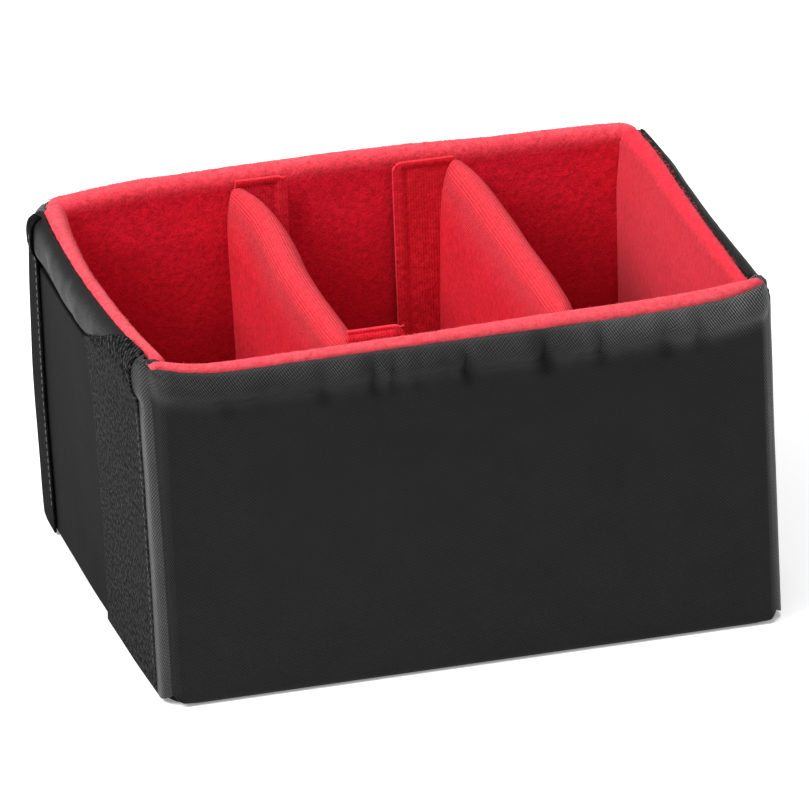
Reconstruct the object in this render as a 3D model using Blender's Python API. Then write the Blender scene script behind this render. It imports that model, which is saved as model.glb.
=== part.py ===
"""Padded divider insert for a small hard case.

Four padded walls and a padded base make a box that is open at the top. The
front and back walls run the full length and fold down about their lower
outer edges, once the wraps at their ends are peeled off the side walls. Two
padded dividers stand across the box. Each holds to the front and back walls
by a flap with a patch of hook tape behind it, and can be set anywhere along
the length.

Every wall is a foam panel in a nylon cover, with a fleece lining that hooks
over its top. Metres, +Z up. The origin is the centre of the underside, +X
runs along the length and the front wall faces -Y.
"""

import math
from dataclasses import dataclass

import bmesh
import bpy
from mathutils import Matrix, Vector

# Overall sizes, over the walls
OUTER_LENGTH = 0.246
OUTER_DEPTH = 0.173
WALL_HEIGHT = 0.140

# Layers, from the outside in
CLEARANCE = 0.0003
NYLON = 0.0012
FLEECE = 0.0022
WALL_FOAM = 0.0051
LOOP_CLOTH = 0.0012
BASE_SKIN = 0.0010
BASE_FOAM = 0.0050

# Wall shape
FACE_SET = 0.0006
END_WALL_BOTTOM_RADIUS = 0.010
END_WALL_CORNER_RADIUS = 0.005
SIDE_WALL_BOTTOM_RADIUS = 0.0025
SIDE_WALL_CORNER_RADIUS = 0.0010
END_WALL_ROLL = 0.010
SIDE_WALL_ROLL = 0.021
COVER_BACK_RADIUS = 0.0008
END_TAPER = 0.005
END_LOW_SHARE = 0.35
ROLL_TURN = math.radians(135.0)

# The middle of the front and back walls leans out, and the front rim sags
WALL_BOW = 0.005
FRONT_SAG = 0.003
BOW_POWER = 8

# Loop panels on the side walls
LOOP_PANEL_MARGIN = 0.001
LOOP_PANEL_FOOT = 0.002
LOOP_PANEL_CORNER = 0.003

# Corner wraps, the nylon strips and the hook tape sewn to them
TAPE_THICKNESS = 0.0016
WRAP_BAND = 0.015
FRONT_TAPE_WIDTH = 0.056
FRONT_TAPE_FALL = 0.015
BACK_BAND = 0.003
BACK_TAPE_WIDTH = 0.018
BACK_TAPE_THICKNESS = 0.0030
BACK_TAPE_FALL = 0.002
WRAP_FOOT = 0.0025
WRAP_FRONT_FOOT = 0.009

# Dividers
LEFT_DIVIDER_X = -0.0412
RIGHT_DIVIDER_X = 0.0425
DIVIDER_THICKNESS = 0.0100
DIVIDER_CROWN = 0.0019
DIVIDER_END_DROP = 0.004
DIVIDER_CREST = 0.0045
DIVIDER_TOP_RADIUS = 0.008
DIVIDER_CORNER = 0.002
DIVIDER_END_GAP = 0.0005
LEFT_FRONT_FLAP_WIDTH = 0.0150
LEFT_BACK_FLAP_WIDTH = 0.0125
RIGHT_FLAP_WIDTH = 0.0185
FLAP_THICKNESS = 0.0019
FLAP_HINGE_GAP = 0.0006
FLAP_FOOT = 0.002
FLAP_TOP_DROP = 0.001
RIGHT_FRONT_FLAP_DROP = 0.007
FLAP_CORNER = 0.004
HOOK_PATCH_THICKNESS = 0.0010
HOOK_PATCH_EDGE = 0.0015
HOOK_PATCH_END = 0.004
HOOK_PATCH_CORNER = 0.002

# Base
BASE_CORNER = 0.012
BASE_PAD_CORNER = 0.003

SOFT_EDGE = 0.0004
SMOOTH_ANGLE = math.radians(38.0)

# How finely the shapes are cut
ARC_STEPS = 3
ROLL_STEPS = 5
ARCH_STEPS = 8
BEVEL_STEPS = 1

# Places along a long side, as shares of half its straight stretch
WALL_STATION_SHARES = (-0.98, -0.87, -0.70, 0.0, 0.70, 0.87, 0.98)
DIVIDER_STATION_SHARES = (-0.85, -0.60, -0.30, 0.0, 0.30, 0.60, 0.85)
# Further places, as shares of what is left towards the wall's end
END_STATION_SHARES = (0.40, 0.68, 0.88)
# Levels of a rounded top, as shares of its radius below the top
TOP_LEVEL_SHARES = (1.0, 0.62, 0.38, 0.20, 0.08, 0.0)
# The narrowest that a closed top becomes, as a share of its thickness
TOP_WIDTH_SHARE = 0.18

# Finishes: colour, roughness, metallic
FINISHES = {
    "nylon": ((0.022, 0.022, 0.024, 1.0), 0.42, 0.0),
    "loop": ((0.040, 0.040, 0.043, 1.0), 0.85, 0.0),
    "hook": ((0.015, 0.015, 0.016, 1.0), 0.75, 0.0),
    "fleece": ((0.72, 0.012, 0.035, 1.0), 0.92, 0.0),
    "foam": ((0.10, 0.10, 0.105, 1.0), 0.95, 0.0),
}

WALL_BOTTOM = BASE_SKIN + CLEARANCE


def cover_depth(face_set):
    """Depth of a wall's nylon cover, from the roll's crest to its back."""
    return foam_face(face_set) + WALL_FOAM + CLEARANCE + NYLON


def foam_face(face_set):
    """Depth at which the foam starts, clear of the cover and of the lip."""
    return max(FLEECE, face_set + NYLON) + CLEARANCE


def wall_thickness(face_set):
    """Whole thickness of a wall, cover and lining."""
    return cover_depth(face_set) + CLEARANCE + FLEECE


END_WALL = wall_thickness(FACE_SET)
SIDE_SET = LOOP_CLOTH + CLEARANCE
SIDE_WALL = wall_thickness(SIDE_SET)
INNER_HALF_DEPTH = OUTER_DEPTH / 2 - END_WALL
INNER_HALF_LENGTH = OUTER_LENGTH / 2 - SIDE_WALL
BASE_TOP = WALL_BOTTOM + BASE_FOAM + CLEARANCE + FLEECE


@dataclass(frozen=True)
class Wall:
    """One wall in its own frame: u along it, t inwards from its outer face."""

    name: str
    turn: float
    offset: float
    length: float
    face_set: float
    bottom_radius: float
    corner_radius: float
    roll: float
    sag: float

    @property
    def half(self):
        """Half the wall's length."""
        return self.length / 2

    @property
    def thickness(self):
        """The wall's whole thickness."""
        return wall_thickness(self.face_set)

    @property
    def arch_z(self):
        """Height of the centre of the rounded rim."""
        return WALL_HEIGHT - self.thickness / 2

    @property
    def stations(self):
        """Places along the wall that every layer shares."""
        straight = self.half - self.bottom_radius - self.corner_radius
        return [share * straight for share in WALL_STATION_SHARES]

    @property
    def matrix(self):
        """Place of the wall's lower outer edge."""
        turn = Matrix.Rotation(self.turn, 4, "Z")
        return turn @ Matrix.Translation((0, -self.offset, 0))


SIDE_WALL_LENGTH = 2 * (INNER_HALF_DEPTH - CLEARANCE)

WALLS = (
    Wall("front_wall", 0.0, OUTER_DEPTH / 2, OUTER_LENGTH, FACE_SET, END_WALL_BOTTOM_RADIUS,
         END_WALL_CORNER_RADIUS, END_WALL_ROLL, FRONT_SAG),
    Wall("right_wall", math.pi / 2, OUTER_LENGTH / 2, SIDE_WALL_LENGTH, SIDE_SET,
         SIDE_WALL_BOTTOM_RADIUS, SIDE_WALL_CORNER_RADIUS, SIDE_WALL_ROLL, 0.0),
    Wall("back_wall", math.pi, OUTER_DEPTH / 2, OUTER_LENGTH, FACE_SET, END_WALL_BOTTOM_RADIUS,
         END_WALL_CORNER_RADIUS, END_WALL_ROLL, 0.0),
    Wall("left_wall", -math.pi / 2, OUTER_LENGTH / 2, SIDE_WALL_LENGTH, SIDE_SET,
         SIDE_WALL_BOTTOM_RADIUS, SIDE_WALL_CORNER_RADIUS, SIDE_WALL_ROLL, 0.0),
)


def middle_share(x):
    """One along the middle of the length, falling to zero at the ends."""
    share = min(abs(x) / (OUTER_LENGTH / 2), 1.0)
    return 1.0 - share ** BOW_POWER


def bowed(point):
    """Lean a point out with the front and back walls."""
    reach = min(abs(point.y) / INNER_HALF_DEPTH, 1.0)
    lean = WALL_BOW * point.z / WALL_HEIGHT * middle_share(point.x)
    return Vector((point.x, point.y + math.copysign(lean * reach, point.y), point.z))


def sagged(point, sag):
    """Let a point of a wall down with its rim."""
    fall = sag * point.z / WALL_HEIGHT * middle_share(point.x)
    return Vector((point.x, point.y, point.z - fall))


def clear_scene():
    """Start from an empty scene."""
    for obj in list(bpy.data.objects):
        bpy.data.objects.remove(obj, do_unlink=True)


def make_material(name, finish):
    """A Principled material of one finish."""
    colour, roughness, metallic = FINISHES[finish]
    material = bpy.data.materials.new(name + "_" + finish)
    material.use_nodes = True
    shader = material.node_tree.nodes["Principled BSDF"]
    shader.inputs["Base Color"].default_value = colour
    shader.inputs["Roughness"].default_value = roughness
    shader.inputs["Metallic"].default_value = metallic
    material.diffuse_color = colour
    return material


def make_axis(name, place, parent=None):
    """An empty that stands on a joint's axis."""
    axis = bpy.data.objects.new(name, None)
    axis.empty_display_size = WALL_HEIGHT / 8
    axis.location = Vector(place) - (world_place(parent) if parent else Vector())
    axis.parent = parent
    bpy.context.collection.objects.link(axis)
    return axis


def world_place(axis):
    """World position of an empty, from its chain of parents."""
    place = axis.location.copy()
    if axis.parent:
        place += world_place(axis.parent)
    return place


def split_quad(points):
    """Corners of the two triangles of a quad, cut towards its high outer corner.

    Neighbouring layers are cut alike, so their twisted faces keep their gap.
    """
    far = max(range(4), key=lambda k: points[k].z + abs(points[k].x))
    if far % 2 == 0:
        return (0, 1, 2), (0, 2, 3)
    return (1, 2, 3), (1, 3, 0)


def cap_ring(shape, row, ring, across):
    """Close a ring: by one flat face, or across from side to side."""
    if not across:
        shape.faces.new(row)
        return
    count = len(row)
    for i in range(count // 2 - 1):
        order = (i, i + 1, count - 2 - i, count - 1 - i)
        points = [ring[k] for k in order]
        for corners in split_quad(points):
            shape.faces.new([row[order[k]] for k in corners])


def add_piece(name, rings, finish, axis, soft_edge=0.0, capped_across=False):
    """One closed piece from rings of world points, hung on its axis."""
    origin = world_place(axis)
    shape = bmesh.new()
    rows = [[shape.verts.new(point - origin) for point in ring] for ring in rings]
    count = len(rows[0])
    for low, high, low_ring, high_ring in zip(rows, rows[1:], rings, rings[1:]):
        for i in range(count):
            j = (i + 1) % count
            quad = (low[i], low[j], high[j], high[i])
            points = (low_ring[i], low_ring[j], high_ring[j], high_ring[i])
            for corners in split_quad(points):
                shape.faces.new([quad[k] for k in corners])
    for row, ring in ((rows[0], rings[0]), (rows[-1], rings[-1])):
        cap_ring(shape, row, ring, capped_across)
    bmesh.ops.recalc_face_normals(shape, faces=shape.faces)
    if shape.calc_volume(signed=True) < 0:
        bmesh.ops.reverse_faces(shape, faces=shape.faces)
    mesh = bpy.data.meshes.new(name)
    shape.to_mesh(mesh)
    shape.free()
    mesh.shade_smooth()
    mesh.set_sharp_from_angle(angle=SMOOTH_ANGLE)
    mesh.materials.append(make_material(name, finish))
    piece = bpy.data.objects.new(name, mesh)
    piece.parent = axis
    bpy.context.collection.objects.link(piece)
    if soft_edge:
        soften(piece, soft_edge)
    return piece


def soften(piece, width):
    """Round a slab's edges a little."""
    bevel = piece.modifiers.new("soft_edge", "BEVEL")
    bevel.width = width
    bevel.segments = BEVEL_STEPS
    bevel.limit_method = "ANGLE"
    bevel.angle_limit = SMOOTH_ANGLE


def quarter(centre, radius, start):
    """Points on a quarter turn, from the start angle on."""
    angles = [start + math.pi / 2 * k / ARC_STEPS for k in range(ARC_STEPS + 1)]
    return [(centre[0] + radius * math.cos(a), centre[1] + radius * math.sin(a)) for a in angles]


def rounded_outline(low, high, low_radius, high_radius, stations=(), high_stations=None):
    """A rounded rectangle, anticlockwise, with stations on its long sides.

    The two corners at low[1] take low_radius and those at high[1] take
    high_radius. Stations are places along the first axis, and the high side
    has its own where they are given.
    """
    (u0, v0), (u1, v1) = low, high
    points = quarter((u0 + low_radius, v0 + low_radius), low_radius, math.pi)
    points += [(u, v0) for u in stations]
    points += quarter((u1 - low_radius, v0 + low_radius), low_radius, -math.pi / 2)
    points += quarter((u1 - high_radius, v1 - high_radius), high_radius, 0.0)
    points += [(u, v1) for u in reversed(high_stations or stations)]
    points += quarter((u0 + high_radius, v1 - high_radius), high_radius, math.pi / 2)
    return points


def slab_rings(outline, low, high, place):
    """Two rings of an outline, set in the world by the place function."""
    return [[place(a, b, level) for a, b in outline] for level in (low, high)]


def wall_point(wall, u, t, z):
    """World point of a place in a wall, with the wall's lean and sag."""
    return sagged(bowed(wall.matrix @ Vector((u, t, z))), wall.sag)


def side_stations(wall, end):
    """Places along one side of a wall's ring, up to where its corners start."""
    last = wall.stations[-1]
    ends = [last + share * (end - last) for share in END_STATION_SHARES]
    return [-u for u in reversed(ends)] + wall.stations + ends


def wall_ring(wall, z, half, face, back, corner, back_corner):
    """A level ring of a wall, from its face to its back."""
    outline = rounded_outline((-half, face), (half, back), corner, back_corner,
                              side_stations(wall, half - corner),
                              side_stations(wall, half - back_corner))
    return [wall_point(wall, u, t, z) for u, t in outline]


def foot_steps(bottom, radius):
    """Heights and end insets of a rounded foot, from the bottom up."""
    angles = [math.pi / 2 * k / ARC_STEPS for k in range(ARC_STEPS + 1)]
    return [(bottom + radius - radius * math.cos(a), radius - radius * math.sin(a)) for a in angles]


def cover_rings(wall):
    """Nylon cover: a pocket, closed at the foot and open under the roll."""
    back = cover_depth(wall.face_set)
    corner, back_corner = wall.corner_radius, COVER_BACK_RADIUS
    rim = wall.arch_z - CLEARANCE
    rings = []
    for z, inset in foot_steps(WALL_BOTTOM, wall.bottom_radius):
        rings.append(wall_ring(wall, z, wall.half - inset, wall.face_set, back, corner, back_corner))
    roll_start = WALL_HEIGHT - wall.roll
    for k in range(ROLL_STEPS + 1):
        share = k / ROLL_STEPS
        face = wall.face_set * (1 - math.sin(share * ROLL_TURN))
        z = roll_start + share * (rim - roll_start)
        rings.append(wall_ring(wall, z, wall.half, face, back, corner, back_corner))
    inner_face = foam_face(wall.face_set) - CLEARANCE
    inner_back = back - NYLON
    inner_corner = max(corner - NYLON, back_corner)
    steps = foot_steps(WALL_BOTTOM + NYLON, wall.bottom_radius - NYLON)
    levels = [(rim, 0.0), (roll_start, 0.0)] + list(reversed(steps))
    for z, inset in levels:
        half = wall.half - NYLON - inset
        rings.append(wall_ring(wall, z, half, inner_face, inner_back, inner_corner, back_corner))
    return rings


def foam_rings(wall):
    """Foam panel: fills the cover, with a rounded top under the lining."""
    face = foam_face(wall.face_set)
    back = face + WALL_FOAM
    margin = NYLON + CLEARANCE
    corner = max(wall.corner_radius - margin, COVER_BACK_RADIUS)
    radius = WALL_FOAM / 2
    rings = []
    for z, inset in foot_steps(WALL_BOTTOM + margin, wall.bottom_radius - margin):
        half = wall.half - margin - inset
        rings.append(wall_ring(wall, z, half, face, back, corner, COVER_BACK_RADIUS))
    shoulder = wall.arch_z - END_TAPER
    rings.append(wall_ring(wall, shoulder, wall.half - margin, face, back, corner, COVER_BACK_RADIUS))
    for k in range(ARC_STEPS):
        angle = math.pi / 2 * k / ARC_STEPS
        half = wall.half - margin - END_TAPER
        width = radius * math.cos(angle)
        z = wall.arch_z + radius * math.sin(angle)
        middle = face + radius
        tight = COVER_BACK_RADIUS * math.cos(angle)
        rings.append(wall_ring(wall, z, half, middle - width, middle + width, tight, tight))
    return rings


def lining_profile(wall, bottom, low_share):
    """Section of a lining: up the inner face and over the top to its lip."""
    outer = wall.thickness / 2
    inner = outer - FLEECE
    angles = [math.pi * k / ARCH_STEPS for k in range(ARCH_STEPS + 1)]
    over = [(outer + outer * math.cos(a), wall.arch_z + outer * low_share * math.sin(a)) for a in angles]
    rise = outer * low_share - FLEECE * low_share
    under = [(outer + inner * math.cos(a), wall.arch_z + rise * math.sin(a)) for a in reversed(angles)]
    return [(wall.thickness, bottom)] + over + under + [(wall.thickness - FLEECE, bottom)]


def lining_stations(wall):
    """Places along a lining: its distance from the middle and its end inset."""
    radius = wall.bottom_radius
    steps = sorted({inset for _, inset in foot_steps(0.0, radius)})
    ends = [(wall.half - inset, inset) for inset in steps]
    middle = [(u, radius) for u in wall.stations]
    left = [(-u, inset) for u, inset in ends]
    return sorted(left + middle + ends)


def lining_rings(wall):
    """Fleece lining: its section carried along the wall, low at both ends."""
    radius = wall.bottom_radius
    rings = []
    for u, inset in lining_stations(wall):
        reach = radius - inset
        bottom = WALL_BOTTOM + radius - math.sqrt(radius ** 2 - reach ** 2)
        rise = min(inset / END_TAPER, 1.0)
        low_share = END_LOW_SHARE + (1 - END_LOW_SHARE) * math.sqrt(1 - (1 - rise) ** 2)
        profile = lining_profile(wall, bottom, low_share)
        rings.append([wall_point(wall, u, t, z) for t, z in profile])
    return rings


def build_wall(wall, axis):
    """A wall's cover, foam and lining."""
    add_piece(wall.name + "_cover", cover_rings(wall), "nylon", axis, capped_across=True)
    add_piece(wall.name + "_foam", foam_rings(wall), "foam", axis, capped_across=True)
    add_piece(wall.name + "_lining", lining_rings(wall), "fleece", axis)


def build_loop_panel(wall, name, axis):
    """Smooth loop cloth on the outside of a side wall, below its roll."""
    half = wall.half - LOOP_PANEL_MARGIN
    low = (-half, WALL_BOTTOM + LOOP_PANEL_FOOT)
    high = (half, WALL_HEIGHT - wall.roll - CLEARANCE)
    outline = rounded_outline(low, high, LOOP_PANEL_CORNER, LOOP_PANEL_CORNER)
    rings = slab_rings(outline, 0.0, LOOP_CLOTH, lambda u, z, t: wall_point(wall, u, t, z))
    add_piece(name, rings, "loop", axis, SOFT_EDGE)


def build_base(axis):
    """Outer skin, foam and lining of the base."""
    half = Vector((OUTER_LENGTH / 2, OUTER_DEPTH / 2))
    skin = rounded_outline(-half, half, BASE_CORNER, BASE_CORNER)
    rings = slab_rings(skin, 0.0, BASE_SKIN, lambda x, y, z: bowed(Vector((x, y, z))))
    add_piece("base_skin", rings, "nylon", axis, SOFT_EDGE)
    inner = Vector((INNER_HALF_LENGTH - CLEARANCE, INNER_HALF_DEPTH - CLEARANCE))
    pad = rounded_outline(-inner, inner, BASE_PAD_CORNER, BASE_PAD_CORNER)
    foam_top = WALL_BOTTOM + BASE_FOAM
    for name, low, high, finish in (
        ("base_foam", WALL_BOTTOM, foam_top, "foam"),
        ("base_lining", foam_top + CLEARANCE, BASE_TOP, "fleece"),
    ):
        rings = slab_rings(pad, low, high, lambda x, y, z: bowed(Vector((x, y, z))))
        add_piece(name, rings, finish, axis, SOFT_EDGE)


@dataclass(frozen=True)
class Wrap:
    """Sizes of the wraps at one end wall."""

    band: float
    tape: float
    thickness: float
    fall: float


FRONT_WRAP = Wrap(WRAP_BAND, FRONT_TAPE_WIDTH, TAPE_THICKNESS, FRONT_TAPE_FALL)
BACK_WRAP = Wrap(BACK_BAND, BACK_TAPE_WIDTH, BACK_TAPE_THICKNESS, BACK_TAPE_FALL)


def build_wrap(name, wall, wrap, side, parent):
    """A corner wrap: a nylon strip from the wall's end, and its hook tape.

    side is -1 at the low u end of the wall and 1 at the other.
    """
    start = wall.corner_radius
    face = side * (wall.half + CLEARANCE)
    pivot = wall.matrix @ Vector((face, start, 0))
    axis = make_axis(name + "_axis", pivot, parent)
    top = wall.arch_z - CLEARANCE
    joint = start + wrap.band
    strip = ((start, WRAP_FRONT_FOOT), (joint, WRAP_FOOT), (joint, top), (start, top))
    free = joint + CLEARANCE + wrap.tape
    tape = ((joint + CLEARANCE, WRAP_FOOT), (free, WRAP_FOOT), (free, top - wrap.fall),
            (joint + CLEARANCE, top))
    for suffix, points, thickness, finish in (
        ("_strip", strip, NYLON, "nylon"),
        ("_hook_tape", tape, wrap.thickness, "hook"),
    ):
        rings = slab_rings(points, face, face + side * thickness,
                           lambda t, z, u: wall.matrix @ Vector((u, t, z)))
        add_piece(name + suffix, rings, finish, axis, SOFT_EDGE)


def divider_top_drop(radius, level):
    """Inset of a rounded corner at a level above the corner's centre."""
    return radius - math.sqrt(max(radius ** 2 - level ** 2, 0.0))


def divider_ring(x, z, half_width, half_length, corner, crowned, crest_base):
    """A level ring of a divider, crowned on its faces and along its top."""
    corner = min(corner, half_width)
    stations = [share * (half_length - corner) for share in DIVIDER_STATION_SHARES]
    outline = rounded_outline((-half_length, -half_width), (half_length, half_width), corner, corner,
                              stations)
    ring = []
    for y, w in outline:
        middle = 1 - (y / (INNER_HALF_DEPTH - DIVIDER_END_GAP)) ** 2
        if crowned:
            w *= 1 + middle * 2 * DIVIDER_CROWN / DIVIDER_THICKNESS
        rise = DIVIDER_CREST * middle * (z - crest_base) / (WALL_HEIGHT - crest_base)
        ring.append(bowed(Vector((x + w, y, z + rise))))
    return ring


def rounded_top_rings(x, top, half_width, half_length, corner, crowned, foot):
    """Rings of a divider's rounded top, from its shoulder up."""
    rings = []
    radius = min(DIVIDER_TOP_RADIUS, half_length)
    for share in TOP_LEVEL_SHARES:
        z = top - share * radius
        inset = divider_top_drop(radius, (1 - share) * radius)
        over = max(z - (top - half_width), 0.0)
        width = math.sqrt(max(half_width ** 2 - over ** 2, (TOP_WIDTH_SHARE * half_width) ** 2))
        rings.append(divider_ring(x, z, width, half_length - inset, corner, crowned, foot))
    return rings


@dataclass(frozen=True)
class Flap:
    """A divider's flap: its end of the divider, its width and its top."""

    name: str
    end: int
    width: float
    top_drop: float


@dataclass(frozen=True)
class Divider:
    """A divider, its place and the face that its flaps are sewn to."""

    name: str
    x: float
    side: int
    flaps: tuple


DIVIDERS = (
    Divider("left_divider", LEFT_DIVIDER_X, 1, (
        Flap("front", -1, LEFT_FRONT_FLAP_WIDTH, FLAP_TOP_DROP),
        Flap("back", 1, LEFT_BACK_FLAP_WIDTH, FLAP_TOP_DROP),
    )),
    Divider("right_divider", RIGHT_DIVIDER_X, -1, (
        Flap("front", -1, RIGHT_FLAP_WIDTH, RIGHT_FRONT_FLAP_DROP),
        Flap("back", 1, RIGHT_FLAP_WIDTH, FLAP_TOP_DROP),
    )),
)


def build_divider(divider, root):
    """A padded divider with its cover, foam, flaps and hook patches."""
    name, x = divider.name, divider.x
    axis = make_axis(name + "_axis", (x, 0, 0), root)
    foot = BASE_TOP + CLEARANCE
    top = WALL_HEIGHT - DIVIDER_END_DROP
    half_length = INNER_HALF_DEPTH - DIVIDER_END_GAP
    half_width = DIVIDER_THICKNESS / 2
    hollow_length = half_length - FLEECE
    hollow_width = half_width - FLEECE
    hollow_top = top - FLEECE
    hollow = [divider_ring(x, foot, hollow_width, hollow_length, DIVIDER_CORNER, False, foot)]
    hollow += rounded_top_rings(x, hollow_top, hollow_width, hollow_length, DIVIDER_CORNER, False, foot)
    outside = [divider_ring(x, foot, half_width, half_length, DIVIDER_CORNER, True, foot)]
    outside += rounded_top_rings(x, top, half_width, half_length, DIVIDER_CORNER, True, foot)
    add_piece(name + "_cover", list(reversed(hollow)) + outside, "fleece", axis, capped_across=True)
    foam_width = hollow_width - CLEARANCE
    foam_length = hollow_length - CLEARANCE
    foam = [divider_ring(x, foot, foam_width, foam_length, DIVIDER_CORNER, False, foot)]
    foam += rounded_top_rings(x, hollow_top - CLEARANCE, foam_width, foam_length, DIVIDER_CORNER,
                              False, foot)
    add_piece(name + "_foam", foam, "foam", axis, capped_across=True)
    for flap in divider.flaps:
        build_flap(divider, flap, axis)


def build_flap(divider, flap, parent):
    """A flap against an end wall, and the hook patch between the two."""
    name = divider.name + "_" + flap.name
    side, end = divider.side, flap.end
    wall_face = INNER_HALF_DEPTH - DIVIDER_END_GAP
    flap_back = wall_face - HOOK_PATCH_THICKNESS - CLEARANCE
    flap_front = flap_back - FLAP_THICKNESS
    near = divider.x + side * (DIVIDER_THICKNESS / 2 + FLAP_HINGE_GAP)
    far = near + side * flap.width
    low = BASE_TOP + CLEARANCE + FLAP_FOOT
    high = WALL_HEIGHT - flap.top_drop
    axis = make_axis(name + "_flap_axis", (near, end * flap_front, 0), parent)
    x0, x1 = sorted((near, far))
    outline = rounded_outline((x0, low), (x1, high), FLAP_CORNER, FLAP_CORNER)

    def place(a, z, y):
        return bowed(Vector((a, end * y, z)))

    rings = slab_rings(outline, flap_front, flap_back, place)
    add_piece(name + "_flap", rings, "fleece", axis, SOFT_EDGE)
    patch_low = (x0 + HOOK_PATCH_EDGE, low + HOOK_PATCH_END)
    patch_high = (x1 - HOOK_PATCH_EDGE, high - HOOK_PATCH_END)
    patch = rounded_outline(patch_low, patch_high, HOOK_PATCH_CORNER, HOOK_PATCH_CORNER)
    rings = slab_rings(patch, wall_face - HOOK_PATCH_THICKNESS, wall_face, place)
    add_piece(name + "_hook_patch", rings, "hook", axis, SOFT_EDGE / 2)


def main():
    """Build the whole insert."""
    clear_scene()
    root = make_axis("frame_axis", (0, 0, 0))
    build_base(root)
    for wall in WALLS:
        edge = wall.matrix @ Vector()
        axis = make_axis(wall.name + "_axis", edge, root)
        build_wall(wall, axis)
        if wall.name in ("left_wall", "right_wall"):
            build_loop_panel(wall, wall.name + "_loop_panel", axis)
        if wall.name == "front_wall":
            build_wrap("front_left_wrap", wall, FRONT_WRAP, -1, axis)
            build_wrap("front_right_wrap", wall, FRONT_WRAP, 1, axis)
        if wall.name == "back_wall":
            build_wrap("back_right_wrap", wall, BACK_WRAP, -1, axis)
            build_wrap("back_left_wrap", wall, BACK_WRAP, 1, axis)
    for divider in DIVIDERS:
        build_divider(divider, root)


main()
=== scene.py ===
"""Dresses the padded divider insert: black twill covers, red fleece, hook tape.

Every cloth piece starts as a flat cut or a padded block, is shaped over the
wall or divider that it belongs to, and rides on that body of the frame.
Metres, +Z up, the front wall faces -Y.
"""

from __future__ import annotations

import logging
import math
from contextlib import contextmanager
from dataclasses import dataclass
from enum import Enum
from typing import Callable, Iterator, Sequence

import bpy
import numpy as np
from mathutils import Matrix, Vector, noise


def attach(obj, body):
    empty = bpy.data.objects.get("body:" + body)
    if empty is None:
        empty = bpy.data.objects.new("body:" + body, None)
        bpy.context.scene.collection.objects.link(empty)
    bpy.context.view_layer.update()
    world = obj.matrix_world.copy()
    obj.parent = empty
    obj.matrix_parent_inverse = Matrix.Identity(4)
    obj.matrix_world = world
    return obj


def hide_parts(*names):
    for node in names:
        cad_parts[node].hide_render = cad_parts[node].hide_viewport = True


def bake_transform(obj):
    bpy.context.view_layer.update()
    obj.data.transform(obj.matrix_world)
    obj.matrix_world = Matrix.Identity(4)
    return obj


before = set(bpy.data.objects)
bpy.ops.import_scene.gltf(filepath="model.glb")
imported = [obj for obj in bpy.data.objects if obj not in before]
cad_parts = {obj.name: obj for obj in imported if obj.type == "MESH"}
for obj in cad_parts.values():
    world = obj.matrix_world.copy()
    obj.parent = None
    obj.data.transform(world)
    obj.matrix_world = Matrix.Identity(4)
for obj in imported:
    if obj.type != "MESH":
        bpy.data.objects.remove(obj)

log = logging.getLogger("insert")

Points = np.ndarray
Mould = Callable[[Points], Points]
Piece = bpy.types.Object
Socket = bpy.types.NodeSocket
Place = Sequence[float]
Pair = tuple[float, float]
Knots = tuple[Pair, ...]
Triples = tuple[tuple[float, float, float], ...]
Colour = tuple[float, float, float, float]

IMAGE = 809
WHITE = (1.0, 1.0, 1.0, 1.0)

# The insert's own sizes
LENGTH = 0.246
DEPTH = 0.173
HEIGHT = 0.140
GAP = 0.0003
FLEECE = 0.0022
BOW = 0.005
BOW_POWER = 8
INNER_DEPTH = 0.0749
INNER_LENGTH = 0.1109
BASE_TOP = 0.0088
WALL_FOOT = 0.0013
# Room between the fleece of a wall and the cover below it
SLACK = 0.0004

# How far the left wall has bellied out: at its rim, its foot and its back half
SIDE_BELLY = 0.0050
FOOT_BELLY = 0.0012
BACK_BELLY = 0.0017
BACK_REACH = (0.020, 0.085)
# Swell and hollow of the right rim: depth, place along the wall and width
RIGHT_BELLY = (0.0012, 0.045, 0.026)
RIGHT_HOLLOW = (0.0004, -0.030, 0.030)
# From here outwards along the length the side walls move
SIDE_START = 0.090

# How far the soft corners have moved: (x, y, z) at each of the eight corners,
# by side (left, right), end (front, back) and level (foot, rim)
CORNER_SHIFTS = {
    (0, 0, 0): (0.0024, -0.0040, 0.0),
    (1, 0, 0): (0.0006, -0.0079, 0.0),
    (0, 1, 0): (-0.0014, 0.0060, 0.0),
    (1, 1, 0): (0.0010, 0.0030, 0.0),
    (0, 0, 1): (0.0004, -0.0006, 0.0008),
    (1, 0, 1): (-0.0012, 0.0010, -0.0004),
    (0, 1, 1): (-0.0036, 0.0000, -0.0010),
    (1, 1, 1): (-0.0002, -0.0010, -0.0026),
}


class Side(Enum):
    """The two ends of the length."""

    LEFT = -1
    RIGHT = 1


class End(Enum):
    """The two long walls."""

    FRONT = -1
    BACK = 1


def rows(*columns: Points | float) -> Points:
    """Columns side by side, a single value standing for a whole column."""
    return np.stack(np.broadcast_arrays(*columns), axis=1)


def smooth_step(low: float, high: float, value: Points) -> Points:
    """Rise from 0 at low to 1 at high, level at both.

    Args:
        low: where the rise starts.
        high: where it ends.
        value: the places to look up.

    Returns:
        The share at each place.
    """
    share = np.clip((value - low) / (high - low), 0.0, 1.0)
    return share * share * (3.0 - 2.0 * share)


def hump(centre: float, width: float, value: Points) -> Points:
    """A soft hump of height 1 round a centre."""
    return np.exp(-(((value - centre) / width) ** 2))


def ripple(points: Points, scale: float, seed: float) -> Points:
    """Smooth noise from -1 to 1 at each point.

    Args:
        points: the places, one row each.
        scale: the size of a ripple, in metres.
        seed: shifts the noise, so that two pieces differ.

    Returns:
        One value per point.
    """
    scaled = points / scale + seed
    return np.array([noise.noise(Vector(row)) for row in scaled])


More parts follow.
